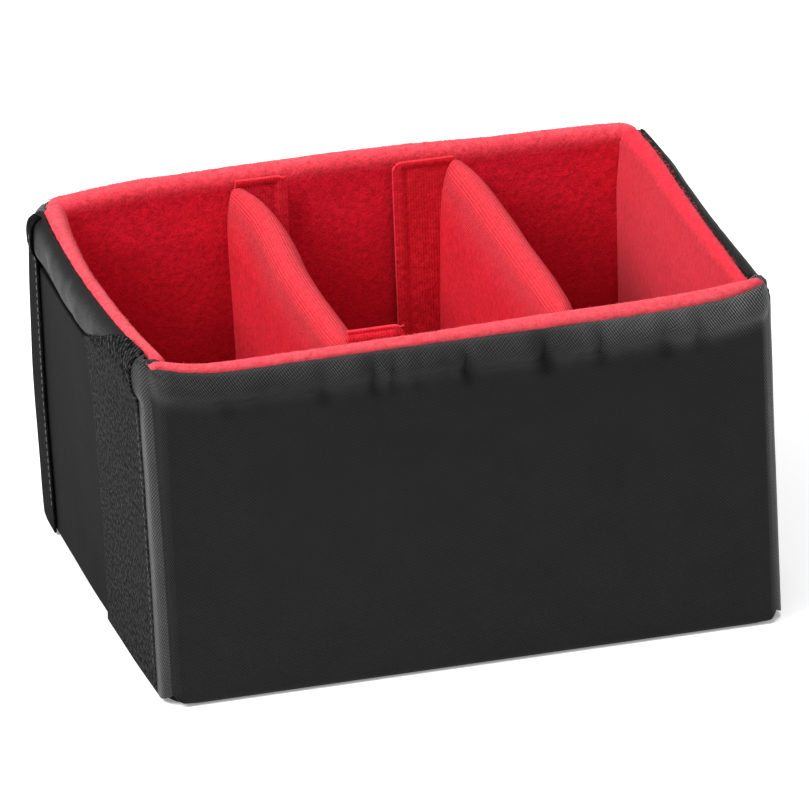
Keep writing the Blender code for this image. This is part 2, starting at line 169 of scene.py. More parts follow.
def middle_share(x: Points) -> Points:
    """One along the middle of the length, falling to zero at its ends."""
    return 1.0 - np.minimum(np.abs(x) / (LENGTH / 2), 1.0) ** BOW_POWER


def lean(points: Points) -> Points:
    """Lean points out with the front and back walls, as the frame does.

    Args:
        points: x, y and z of each point.

    Returns:
        The points, moved along the depth.
    """
    out = points.copy()
    reach = np.minimum(np.abs(points[:, 1]) / INNER_DEPTH, 1.0)
    shift = BOW * points[:, 2] / HEIGHT * middle_share(points[:, 0]) * reach
    out[:, 1] += np.sign(points[:, 1]) * shift
    return out


def settle(points: Points) -> Points:
    """Carry the whole soft box to the stance that it has taken.

    Args:
        points: places in the upright box.

    Returns:
        The places in the box as it stands, with its moved corners and the
        belly of its side walls.
    """
    shares = (
        np.clip(points[:, 0] / LENGTH + 0.5, -0.1, 1.1),
        np.clip(points[:, 1] / DEPTH + 0.5, -0.1, 1.1),
        np.clip(points[:, 2] / HEIGHT, 0.0, 1.05),
    )
    out = points.copy()
    for corner, shift in CORNER_SHIFTS.items():
        weight = np.ones(len(points))
        for high, share in zip(corner, shares):
            weight = weight * (share if high else 1.0 - share)
        out += weight[:, None] * np.array(shift)
    x, y, z = points.T
    side = smooth_step(SIDE_START, INNER_LENGTH, np.abs(x))
    rise = (np.clip(z, 0.0, None) / HEIGHT) ** 2
    crown = 1.0 - (y / (DEPTH / 2)) ** 2
    right = (RIGHT_BELLY[0] * hump(*RIGHT_BELLY[1:], y)
             - RIGHT_HOLLOW[0] * hump(*RIGHT_HOLLOW[1:], y))
    out[:, 0] += side * rise * np.where(x < 0, -(SIDE_BELLY * crown), right)
    low = (1.0 - np.clip(z, 0.0, HEIGHT) / HEIGHT) ** 3
    spread = FOOT_BELLY * crown * low
    spread += BACK_BELLY * np.sin(math.pi * shares[2]) * smooth_step(*BACK_REACH, y)
    out[:, 0] -= side * np.where(x < 0, spread, 0.0)
    return out


def deselect() -> None:
    """Leave nothing selected and be in object mode."""
    if bpy.context.object and bpy.context.object.mode != "OBJECT":
        bpy.ops.object.mode_set(mode="OBJECT")
    bpy.ops.object.select_all(action="DESELECT")


def take(obj: Piece) -> None:
    """Select one object alone and make it active.

    Args:
        obj: the object.
    """
    deselect()
    obj.select_set(True)
    bpy.context.view_layer.objects.active = obj


@contextmanager
def editing(obj: Piece) -> Iterator[None]:
    """Edit mode on one object, and back.

    Args:
        obj: the object.

    Returns:
        The time spent in edit mode.
    """
    take(obj)
    bpy.ops.object.mode_set(mode="EDIT")
    yield
    bpy.ops.object.mode_set(mode="OBJECT")


def coordinates(obj: Piece) -> Points:
    """The object's vertices, one row each.

    Args:
        obj: a mesh object.

    Returns:
        x, y and z of each vertex.
    """
    flat = np.zeros(len(obj.data.vertices) * 3)
    obj.data.vertices.foreach_get("co", flat)
    return flat.reshape(-1, 3)


def mould(obj: Piece, shape: Mould) -> None:
    """Press the vertices of an object into a shape."""
    obj.data.vertices.foreach_set("co", shape(coordinates(obj)).ravel())
    obj.data.update()


def finish_modifier(obj: Piece, kind: str, **settings: object) -> None:
    """Add a modifier, set it and apply it.

    Args:
        obj: the piece.
        kind: the modifier's type.
        settings: its settings by name.
    """
    take(obj)
    modifier = obj.modifiers.new(kind.lower(), kind)
    for name, value in settings.items():
        setattr(modifier, name, value)
    bpy.ops.object.modifier_apply(modifier=modifier.name)


def block(name: str, low: Place, high: Place) -> Piece:
    """A cube at its size and place, with the place in its mesh.

    Args:
        name: the piece's name.
        low: its lowest corner.
        high: its highest corner.

    Returns:
        The new object.
    """
    deselect()
    low, high = Vector(low), Vector(high)
    bpy.ops.mesh.primitive_cube_add(size=1.0, location=(low + high) / 2, scale=high - low)
    obj = bpy.context.object
    bpy.ops.object.transform_apply(location=True, rotation=True, scale=True)
    obj.name = obj.data.name = name
    return obj


def pick_edges(obj: Piece, test: Callable[[Vector, Vector], bool]) -> None:
    """Select the edges that a test picks by their middle and direction.

    Args:
        obj: a mesh object.
        test: takes an edge's middle and its direction.
    """
    take(obj)
    bpy.context.tool_settings.mesh_select_mode = (False, True, False)
    verts = obj.data.vertices
    for part in (obj.data.polygons, obj.data.edges, verts):
        part.foreach_set("select", [False] * len(part))
    for edge in obj.data.edges:
        a, b = (verts[i].co for i in edge.vertices)
        edge.select = test((a + b) / 2, (b - a).normalized())


def round_edges(obj: Piece, radius: float, steps: int,
                test: Callable[[Vector, Vector], bool]) -> None:
    """Bevel the edges that a test picks.

    Args:
        obj: the piece.
        radius: the bevel's width.
        steps: its segments.
        test: takes an edge's middle and its unit direction.
    """
    pick_edges(obj, test)
    with editing(obj):
        bpy.ops.mesh.bevel(offset=radius, segments=steps, affect="EDGES")


def cloth(name: str, width: float, height: float, step: float) -> Piece:
    """A flat cut of cloth in X and Y from its lower left corner, UV in metres.

    Args:
        name: the piece's name.
        width: along X.
        height: along Y.
        step: the size of its mesh.

    Returns:
        The new object.
    """
    deselect()
    bpy.ops.mesh.primitive_grid_add(
        x_subdivisions=max(round(width / step), 2), y_subdivisions=max(round(height / step), 2),
        size=1.0, location=(width / 2, height / 2, 0.0))
    obj = bpy.context.object
    obj.scale = (width, height, 1.0)
    bpy.ops.object.transform_apply(location=True, rotation=True, scale=True)
    obj.name = obj.data.name = name
    layer = obj.data.uv_layers.active.data
    flat = np.zeros(len(layer) * 2)
    layer.foreach_get("uv", flat)
    layer.foreach_set("uv", (flat.reshape(-1, 2) * (width, height)).ravel())
    return obj


def lay_out(obj: Piece, places: Points) -> None:
    """Write each vertex's place on its cloth, in metres, as the piece's UV.

    Args:
        obj: a mesh object.
        places: the place of each vertex.
    """
    mesh = obj.data
    while mesh.uv_layers:
        mesh.uv_layers.remove(mesh.uv_layers[0])
    layer = mesh.uv_layers.new(name="cloth")
    corners = np.zeros(len(mesh.loops), dtype=int)
    mesh.loops.foreach_get("vertex_index", corners)
    layer.data.foreach_set("uv", places[corners].ravel())


def face_out(obj: Piece) -> None:
    """Turn every face of a closed piece outwards.

    Args:
        obj: the piece.
    """
    with editing(obj):
        bpy.ops.mesh.select_all(action="SELECT")
        bpy.ops.mesh.normals_make_consistent(inside=False)


def thicken(obj: Piece, thickness: float, soft_edge: float = 0.0,
            steps: int = 2, way: float = -1.0) -> None:
    """Give a sheet its thickness and soften its cut edge.

    Args:
        obj: the flat or folded sheet.
        thickness: how thick it gets.
        soft_edge: how much its cut edge is rounded.
        steps: the segments of that rounding.
        way: -1 to grow behind the face, 1 to grow before it.
    """
    finish_modifier(obj, "SOLIDIFY", thickness=thickness, offset=way)
    if soft_edge:
        finish_modifier(obj, "BEVEL", width=soft_edge, segments=steps, limit_method="ANGLE",
                        angle_limit=math.radians(50.0))


def smooth(obj: Piece, angle: float = 60.0) -> None:
    """Shade smooth up to an angle in degrees."""
    take(obj)
    bpy.ops.object.shade_smooth_by_angle(angle=math.radians(angle))


def grid_block(name: str, low: Place, high: Place,
               step: float) -> Piece:
    """A closed block whose faces are even grids.

    Args:
        name: the piece's name.
        low: its lowest corner.
        high: its highest corner.
        step: the size of a mesh square.

    Returns:
        The new object.
    """
    obj = block(name, low, high)
    for axis in range(3):
        cuts = max(round((high[axis] - low[axis]) / step) - 1, 1)
        pick_edges(obj, lambda _, d, axis=axis: abs(d[axis]) > 0.9)
        with editing(obj):
            bpy.ops.mesh.subdivide(number_cuts=cuts)
    return obj


def round_off(first: Points, second: Points, edge: Pair,
              radius: float) -> tuple[Points, Points]:
    """Round the edge of a block where two of its faces meet.

    Args:
        first: distances along one axis, growing towards the edge.
        second: distances along the other, growing towards the edge.
        edge: where the edge is on both.
        radius: its rounding.

    Returns:
        Both distances, with what lay outside the rounding drawn onto it.
    """
    a = first - (edge[0] - radius)
    b = second - (edge[1] - radius)
    far = np.hypot(a, b)
    pull = np.where((a > 0) & (b > 0) & (far > radius), radius / np.maximum(far, 1e-9), 1.0)
    return edge[0] - radius + a * pull, edge[1] - radius + b * pull


def remesh(obj: Piece, voxel: float, rounds: int) -> None:
    """Remesh a block evenly and round it off.

    Args:
        obj: the piece.
        voxel: the size of a mesh square.
        rounds: how often its vertices are smoothed.
    """
    take(obj)
    obj.data.remesh_voxel_size = voxel
    bpy.ops.object.voxel_remesh()
    if rounds:
        finish_modifier(obj, "SMOOTH", factor=0.5, iterations=rounds)


class Tree:
    """A node tree being built."""

    def __init__(self, owner: bpy.types.Material | bpy.types.World, shader: str) -> None:
        """Start from the owner's own shader node.

        Args:
            owner: the material or world.
            shader: name of its shader node.
        """
        owner.use_nodes = True
        self.nodes = owner.node_tree.nodes
        self.links = owner.node_tree.links
        self.shader = self.nodes[shader]

    def node(self, kind: str, inputs: dict[str | int, object] | None = None,
             **settings: object) -> bpy.types.Node:
        """Add a node.

        Args:
            kind: its type, without the ShaderNode prefix.
            inputs: values or output sockets for its inputs.
            settings: its properties.

        Returns:
            The node.
        """
        made = self.nodes.new("ShaderNode" + kind)
        for name, value in settings.items():
            setattr(made, name, value)
        for key, value in (inputs or {}).items():
            if isinstance(value, Socket):
                self.links.new(value, made.inputs[key])
            else:
                made.inputs[key].default_value = value
        return made

    def math(self, operation: str, first: object, second: object = 0.0) -> Socket:
        """A sum, product or other operation of two values or sockets."""
        return self.node("Math", {0: first, 1: second}, operation=operation).outputs[0]

    def spread(self, value: Socket, low: float, high: float,
               to_low: float = 0.0, to_high: float = 1.0) -> Socket:
        """A value's range carried to another range.

        Args:
            value: what is carried.
            low: its start.
            high: its end.
            to_low: where the start lands.
            to_high: where the end lands.

        Returns:
            The carried value, held within the new range.
        """
        made = self.node("MapRange", {"Value": value, "From Min": low, "From Max": high,
                                      "To Min": to_low, "To Max": to_high})
        return made.outputs["Result"]

    def wire(self, **sockets: object) -> None:
        """Set or link the shader's inputs, underscores standing for spaces.

        Args:
            sockets: a value or socket for each input.
        """
        for name, value in sockets.items():
            target = self.shader.inputs[name.replace("_", " ")]
            if isinstance(value, Socket):
                self.links.new(value, target)
            else:
                target.default_value = value


class Recipe(Tree):
    """The node tree of one finish."""

    def __init__(self, name: str) -> None:
        """Start from an empty Principled material."""
        self.material = bpy.data.materials.new(name)
        super().__init__(self.material, "Principled BSDF")

    def place(self, source: str, scale: Place = (1.0, 1.0, 1.0),
              turn: Place = (0.0, 0.0, 0.0)) -> Socket:
        """Coordinates of a source, scaled and turned.

        Args:
            source: Object or UV.
            scale: along each axis.
            turn: in radians.

        Returns:
            The vector socket.
        """
        coordinate = self.node("TexCoord").outputs[source]
        mapping = self.node("Mapping", {"Vector": coordinate, "Scale": scale, "Rotation": turn})
        return mapping.outputs["Vector"]

    def noise(self, vector: Socket, scale: float, detail: float = 2.0,
              roughness: float = 0.5) -> Socket:
        """Noise of a scale in cells per metre.

        Args:
            vector: the place.
            scale: cells per metre.
            detail: how many finer layers.
            roughness: their weight.

        Returns:
            The noise, from 0 to 1.
        """
        made = self.node("TexNoise", {"Vector": vector, "Scale": scale, "Detail": detail,
                                      "Roughness": roughness})
        return made.outputs["Fac"]

    def bands(self, vector: Socket, per_metre: float, axis: str = "X",
              distortion: float = 0.0, detail_scale: float = 1.0) -> Socket:
        """Sine bands across an axis, so many per metre.

        Args:
            vector: the place.
            per_metre: bands per metre.
            axis: the axis they cross.
            distortion: how far they wander.
            detail_scale: how finely they wander.

        Returns:
            The bands, from 0 to 1.
        """
        made = self.node("TexWave", {"Vector": vector, "Scale": per_metre * math.pi / 10.0,
                                     "Distortion": distortion, "Detail": 1.0,
                                     "Detail Scale": detail_scale},
                         bands_direction=axis)
        return made.outputs["Fac"]

    def times(self, first: object, second: object) -> Socket:
        """A product of two values or sockets."""
        return self.math("MULTIPLY", first, second)

    def up_cloth(self) -> Socket:
        """How far a place is from the foot or ridge of its own flat cloth."""
        return self.math("ABSOLUTE", self.node("SeparateXYZ", {0: self.place("UV")}).outputs[1])

    def mix(self, share: Socket, first: object,
            second: object) -> Socket:
        """Two colours mixed by a share."""
        made = self.node("Mix", {0: share, 6: first, 7: second}, data_type="RGBA")
        return made.outputs[2]

    def bump(self, height: Socket, distance: float, strength: float = 1.0,
             before: Socket | None = None) -> Socket:
        """A bump of some depth, on top of an earlier one.

        Args:
            height: what stands up.
            distance: its depth in metres.
            strength: its share.
            before: the normal it lies on.

        Returns:
            The bumped normal.
        """
        inputs: dict[str | int, object] = {"Height": height, "Distance": distance,
                                           "Strength": strength}
        if before is not None:
            inputs["Normal"] = before
        return self.node("Bump", inputs).outputs["Normal"]


def grey(level: float, tint: float = 0.0) -> Colour:
    """A grey of a linear level, a little blue with tint."""
    return (level, level, level * (1.0 + tint), 1.0)


@dataclass(frozen=True)
class TwillNylon:
    """Shiny black twill: fine diagonal lines over crossing yarns."""

    name: str = "twill_nylon"
    dark: float = 0.0020
    light: float = 0.0170
    gloss: float = 0.12
    # Painted highlight: a lighter colour over a band high up the cloth, where the roll faces the
    # light, and lighter still towards one end
    roll_highlight: float = 0.0950
    roll_highlight_from: Pair | None = None
    roll_highlight_end: Pair = (0.020, 0.110)
    pitch: float = 0.00085
    slope: float = math.radians(-32.0)
    roughness: float = 0.36

    def make(self) -> bpy.types.Material:
        """Build the material on the cloth's own UV, in metres.

        Returns:
            The material.
        """
        r = Recipe(self.name)
        slanted = r.place("UV", turn=(0.0, 0.0, self.slope))
        lines = r.bands(slanted, 1.0 / self.pitch, "X", 0.5, 0.5)
        picks = r.bands(slanted, 0.7 / self.pitch, "Y", 0.4)
        weave = r.times(lines, r.spread(picks, 0.0, 1.0, 0.5, 1.0))
        clouds = r.noise(r.place("UV"), 45.0, 3.0)
        slubs = r.noise(r.place("UV", (1.0, 4.0, 1.0)), 900.0, 2.0)
        share = r.times(weave, r.spread(clouds, 0.3, 0.7, 0.55, 1.25))
        share = r.times(share, r.spread(slubs, 0.25, 0.75, 0.6, 1.3))
        bright = grey(self.light, 0.02)
        # Painted highlight on the roll: the band high up the cloth gets a lighter colour, and
        # lighter still along one end
        if self.roll_highlight_from:
            across, up = r.node("SeparateXYZ", {0: r.place("UV")}).outputs[:2]
            high = r.spread(up, *self.roll_highlight_from)
            bright = r.mix(high, bright, grey(self.roll_highlight))
            end = r.times(high, r.spread(across, *self.roll_highlight_end))
            bright = r.mix(end, bright, grey(self.roll_highlight * 2.6))
        colour = r.mix(share, grey(self.dark, 0.04), bright)
        rough = r.spread(clouds, 0.3, 0.7, self.roughness - 0.05, self.roughness + 0.08)
        normal = r.bump(weave, 0.00030, 1.0, r.bump(clouds, 0.0014, 0.4))
        r.wire(Base_Color=colour, Roughness=rough, Normal=normal,
               Specular_IOR_Level=self.gloss)
        return r.material


@dataclass(frozen=True)
class BrushedLoop:
    """Smooth brushed loop cloth, nearly plain."""

    name: str = "brushed_loop"
    dark: float = 0.0032
    light: float = 0.0078

    def make(self) -> bpy.types.Material:
        """Build the material on the cloth's own UV, in metres.

        Returns:
            The material.
        """
        r = Recipe(self.name)
        flat = r.place("UV")
        nap = r.noise(r.place("UV", (1.0, 0.25, 1.0)), 2600.0, 3.0, 0.6)
        streaks = r.noise(r.place("UV", (1.0, 0.08, 1.0)), 160.0, 3.0)
        share = r.times(r.spread(nap, 0.25, 0.75), r.spread(streaks, 0.3, 0.7, 0.5, 1.0))
        colour = r.mix(share, grey(self.dark, 0.02), grey(self.light, 0.02))
        normal = r.bump(nap, 0.00008, 0.35, r.bump(r.noise(flat, 90.0, 2.0), 0.0004, 0.3))
        r.wire(Base_Color=colour, Roughness=r.spread(nap, 0.2, 0.8, 0.7, 0.95), Normal=normal,
               Sheen_Weight=0.01, Sheen_Roughness=0.5, Specular_IOR_Level=0.04)
        return r.material


@dataclass(frozen=True)
class WovenTape:
    """Back of hook tape: a coarse twill, broken here and there."""

    name: str = "woven_tape"
    dark: float = 0.0010
    light: float = 0.046
    pitch: float = 0.00135
    turn: float = 0.85

    def make(self) -> bpy.types.Material:
        """Build the material on the tape's own UV, in metres.

        Returns:
            The material.
        """
        r = Recipe(self.name)
        slanted = r.place("UV", turn=(0.0, 0.0, self.turn))
        lines = r.bands(slanted, 1.0 / self.pitch, "X", 2.6, 1.6)
        cross = r.bands(slanted, 0.8 / self.pitch, "Y", 3.0, 1.8)
        breaks = r.noise(r.place("UV"), 520.0, 2.0)
        weave = r.times(lines, r.spread(cross, 0.0, 1.0, 0.45, 1.0))
        share = r.times(weave, r.spread(breaks, 0.40, 0.62, 0.10, 1.3))
        colour = r.mix(share, grey(self.dark), grey(self.light))
        normal = r.bump(share, 0.00030, 0.8)
        r.wire(Base_Color=colour, Roughness=0.80, Normal=normal,
               Specular_IOR_Level=0.04)
        return r.material


@dataclass(frozen=True)
class HookFace:
    """Hook side of the tape: rows of tiny stubs, nearly black."""

    name: str = "hook_face"
    dark: float = 0.004
    light: float = 0.030
    pitch: float = 0.0013

    def make(self) -> bpy.types.Material:
        """Build the material on the tape's own UV, in metres.

        Returns:
            The material.
        """
        r = Recipe(self.name)
        flat = r.place("UV")
        stubs = r.times(r.bands(flat, 1.0 / self.pitch, "X", 0.5),
                       r.bands(flat, 1.0 / self.pitch, "Y", 1.5))
        colour = r.mix(r.spread(stubs, 0.3, 0.9), grey(self.dark), grey(self.light))
        normal = r.bump(stubs, 0.0004, 0.8, r.bump(r.noise(flat, 1800.0, 2.0), 0.0002, 0.6))
        r.wire(Base_Color=colour, Roughness=0.5, Normal=normal, Specular_IOR_Level=0.4)
        return r.material


@dataclass(frozen=True)
class RedFleece:
    """Brushed red fleece: a short nap that catches the light at a slant.

    With a knit it also shows the lines of its jersey back, on its own UV.
    """

    name: str = "red_fleece"
    deep: Colour = (0.38, 0.0015, 0.010, 1.0)
    bright: Colour = (0.70, 0.014, 0.036, 1.0)
    sheen: float = 0.24
    # Painted sheen: a pinker colour over the fold band, standing for light caught by the nap on
    # top surfaces
    painted_sheen: Colour = (0.66, 0.085, 0.108, 1.0)
    # Painted shade: the fleece darkens lower down its cloth, deep in the box
    painted_depth_shade: Pair | None = None
    fold: Pair | None = None
    knit: float = 0.0
    knit_axis: str = "X"
    knit_reach: float = 0.0
    groove: float = 0.55
    rib: float = 0.8

    def make(self) -> bpy.types.Material:
        """Build the material on Object coordinates.

        Returns:
            The material.
        """
        r = Recipe(self.name)
        place = r.place("Object")
        nap = r.noise(place, 1500.0, 4.0, 0.65)
        tufts = r.noise(place, 420.0, 3.0, 0.6)
        strokes = r.noise(place, 75.0, 3.0, 0.55)
        share = r.math("ADD", r.times(nap, 0.60), r.times(tufts, 0.40))
        share = r.times(r.spread(share, 0.36, 0.64),
                       r.spread(strokes, 0.3, 0.7, 0.78, 1.06))
        soft = r.bump(tufts, 0.0007, 0.5, r.bump(strokes, 0.0012, 0.25))
        normal = r.bump(nap, 0.00035, 0.55, soft)
        if self.knit:
            lines = r.bands(r.place("UV"), 1.0 / self.knit, self.knit_axis, 0.25, 0.7)
            if self.knit_reach:
                low = r.up_cloth()
                fade = r.spread(low, self.knit_reach * 0.5, self.knit_reach, 1.0, 0.0)
                lines = r.math("ADD", r.times(r.math("SUBTRACT", lines, 0.6), fade), 0.6)
            share = r.times(share, r.spread(lines, 0.0, 1.0, self.groove, 1.1))
            normal = r.bump(lines, 0.00040, self.rib, normal)
        # Painted shade: darker lower down the cloth, where the box shades it
        if self.painted_depth_shade:
            up = r.up_cloth()
            share = r.times(share, r.spread(up, *self.painted_depth_shade, 0.25, 1.0))
        colour = r.mix(share, self.deep, self.bright)
        # Painted sheen: pinker over the fold band, where the nap catches the light
        if self.fold:
            up = r.up_cloth()
            painted_sheen_share = r.times(r.spread(up, *self.fold), r.spread(share, 0.1, 0.9, 0.45, 1.0))
            colour = r.mix(painted_sheen_share, colour, self.painted_sheen)
        r.wire(Base_Color=colour, Roughness=r.spread(nap, 0.2, 0.8, 0.82, 1.0), Normal=normal,
               Sheen_Weight=self.sheen, Sheen_Roughness=0.42,
               Sheen_Tint=(1.0, 0.48, 0.52, 1.0), Specular_IOR_Level=0.12)
        return r.material


@dataclass(frozen=True)
class Thread:
    """Twisted sewing thread of one colour."""

    name: str
    colour: Colour

    def make(self) -> bpy.types.Material:
        """Build the material on Object coordinates.

        Returns:
            The material.
        """
        r = Recipe(self.name)
        place = r.place("Object")
        twist = r.bands(r.place("Object", turn=(0.6, 0.0, 0.6)), 3200.0, "X", 0.5)
        dark = tuple(c * 0.55 for c in self.colour[:3]) + (1.0,)
        share = r.times(twist, r.spread(r.noise(place, 700.0), 0.2, 0.8, 0.6, 1.1))
        r.wire(Base_Color=r.mix(share, dark, self.colour), Roughness=0.55,
               Normal=r.bump(twist, 0.00005, 0.6), Sheen_Weight=0.2)
        return r.material


class Finishes:
    """All finishes of the insert, each made once."""

    def __init__(self) -> None:
        """Build every material."""
        self.nylon = TwillNylon().make()
        # Front and back wall nylon with the painted highlight on its roll
        self.roll_highlight_nylon = TwillNylon("roll_highlight_nylon", roll_highlight_from=(0.1205, 0.1430)).make()
        self.dull_nylon = TwillNylon("dull_nylon", light=0.0150, roughness=0.46,
                                     gloss=0.12).make()
        # Painted highlight: the corner strips are painted much lighter than the other nylon, for
        # the light on the rounded corner
        self.lit_strip_nylon = TwillNylon("lit_strip_nylon", light=0.0600, gloss=0.20).make()
        self.loop = BrushedLoop().make()
        self.tape = WovenTape().make()
        self.dark_tape = WovenTape("dark_tape", dark=0.0008, light=0.009, turn=0.0).make()
        self.hook = HookFace().make()
        self.fleece = RedFleece().make()
        # Painted sheen: the loose fibres on the rims are a paler pink than the fleece, for the
        # light that the rims' nap catches
        self.pile = RedFleece("loose_fibres", deep=(0.60, 0.06, 0.08, 1.0),
                              bright=(0.80, 0.13, 0.15, 1.0), sheen=0.10).make()
        # Painted sheen on the rim fold and painted shade low down in the box
        self.lining = RedFleece("lining_fleece", bright=(0.82, 0.010, 0.034, 1.0),
                                fold=(0.131, 0.140), painted_depth_shade=(0.048, 0.122)).make()
        # Painted sheen over most of the right wall's inner face, which faces the light from the
        # left
        self.sheen_lit_lining = RedFleece("sheen_lit_lining_fleece", fold=(0.050, 0.150),
                                     painted_sheen=(0.64, 0.028, 0.050, 1.0)).make()
        # Painted sheen along the divider's ridge
        self.divider = RedFleece("divider_fleece", deep=(0.40, 0.0015, 0.010, 1.0),
                                 bright=(0.84, 0.014, 0.036, 1.0), sheen=0.08, knit=0.0012,
                                 knit_axis="Y", knit_reach=0.030, fold=(0.030, 0.0),
                                 painted_sheen=(0.60, 0.046, 0.060, 1.0)).make()
        self.knit = RedFleece("knit_fleece", deep=(0.46, 0.002, 0.012, 1.0),
                              bright=(0.86, 0.024, 0.048, 1.0), knit=0.0011,
                              groove=0.86, rib=0.25).make()
        self.black_thread = Thread("black_thread", (0.012, 0.012, 0.013, 1.0)).make()
        self.grey_thread = Thread("grey_thread", (0.070, 0.070, 0.072, 1.0)).make()
        self.red_thread = Thread("red_thread", (0.55, 0.01, 0.02, 1.0)).make()


def dress(obj: Piece, material: bpy.types.Material, slot: str, body: str,
          *nodes: str) -> None:
    """Give a piece its finish, its body and the nodes that it stands for.

    Args:
        obj: the piece.
        material: its finish.
        slot: not used.
        body: the body that it rides on.
        nodes: the nodes that it replaces.
    """
    obj.data.materials.clear()
    obj.data.materials.append(material)
    if body:
        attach(obj, body)
    if nodes:
        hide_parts(*nodes)


def join(name: str, pieces: list[Piece]) -> Piece:
    """Join pieces into one.

    Args:
        name: the joined piece's name.
        pieces: the pieces, each with its own mesh.

    Returns:
        The joined piece.
    """
    deselect()
    for piece in pieces:
        piece.select_set(True)
    bpy.context.view_layer.objects.active = pieces[0]
    if len(pieces) > 1:
        bpy.ops.object.join()
    pieces[0].name = pieces[0].data.name = name
    return pieces[0]


def spread_copies(name: str, model: Piece, places: Points, along: Points,
                  out: Points) -> Piece:
    """Copy a small model to many places and join the copies.

    Args:
        name: the joined piece's name.
        model: the piece to copy; it is used up.
        places: where each copy goes.
        along: the direction of each copy's X.
        out: the direction of each copy's Z, made square to its X.

    Returns:
        The joined piece.
    """
    copies = []
    for place, way, up in zip(places, along, out):
        way = Vector(way).normalized()
        side = Vector(up).cross(way).normalized()
        frame_turn = Matrix((way, side, way.cross(side))).transposed().to_4x4()
        twin = model.copy()
        twin.data = model.data.copy()
        twin.data.transform(Matrix.Translation(Vector(place)) @ frame_turn)
        bpy.context.scene.collection.objects.link(twin)
        copies.append(twin)
    bpy.data.objects.remove(model, do_unlink=True)
    return join(name, copies)


@dataclass(frozen=True)
class Stitching:
    """A row of machine stitches: one stitch, copied along a path."""

    length: float = 0.0023
    pitch: float = 0.0032
    radius: float = 0.00026
    dip: float = 0.0003

    def model(self) -> Piece:
        """One stitch along X, its thin ends dipping into the cloth.

        Returns:
            The stitch.
        """
        deselect()
        bpy.ops.mesh.primitive_cylinder_add(vertices=6, radius=self.radius,
                                            depth=self.length * 0.6,
                                            rotation=(0.0, math.pi / 2, 0.0))
        stitch = bpy.context.object
        bpy.ops.object.transform_apply(location=True, rotation=True, scale=True)
        bpy.context.tool_settings.mesh_select_mode = (False, False, True)
        for end in (-1, 1):
            for part in (stitch.data.vertices, stitch.data.edges):
                part.foreach_set("select", [False] * len(part))
            for face in stitch.data.polygons:
                face.select = face.normal.x * end > 0.9
            with editing(stitch):
                bpy.ops.mesh.extrude_region_move(
                    TRANSFORM_OT_translate={"value": (end * self.length * 0.2, 0.0, 0.0)})
                bpy.ops.transform.resize(value=(1.0, 0.4, 0.4))
        mould(stitch, lambda p: p - rows(0.0, 0.0, self.dip * (2 * p[:, 0] / self.length) ** 2))
        smooth(stitch)
        return stitch

    def sew(self, name: str, path: Callable[[Points], Points], length: float,
            out: Place) -> Piece:
        """Sew a row along a path.

        Args:
            name: the row's name.
            path: takes distances along the row, gives their places.
            length: the row's length.
            out: the direction in which the stitches stand.

        Returns:
            The row, one joined piece.
        """
        count = max(int(length / self.pitch), 1)
        start = (np.arange(count) + 0.15) * self.pitch
        first, last = path(start), path(start + self.length)
        return spread_copies(name, self.model(), (first + last) / 2, last - first,
                             np.tile(out, (count, 1)))


@dataclass(frozen=True)
class Pile:
    """Loose fibres of brushed fleece: one small tuft, copied over a rim."""

    fibres: int = 7
    length: float = 0.0005
    radius: float = 0.00004
    spread: float = 0.0005

    def model(self, seed: int) -> Piece:
        """One tuft that stands on its Z axis, each fibre leaning its own way.

        Args:
            seed: picks the fibres' lean.

        Returns:
            The tuft.
        """
        dice = np.random.default_rng(seed)
        fibres = []
        for _ in range(self.fibres):
            lean_x, lean_y = dice.uniform(-0.8, 0.8, 2)
            x, y = dice.uniform(-self.spread, self.spread, 2)
            high = self.length * dice.uniform(0.6, 1.1)
            deselect()
            bpy.ops.mesh.primitive_cone_add(
                vertices=3, radius1=self.radius, radius2=self.radius * 0.2, depth=high,
                location=(x, y, high * 0.3), rotation=(lean_x, lean_y, 0.0))
            fibre = bpy.context.object
            bpy.ops.object.transform_apply(location=True, rotation=True, scale=True)
            fibres.append(fibre)
        return join("tuft", fibres)


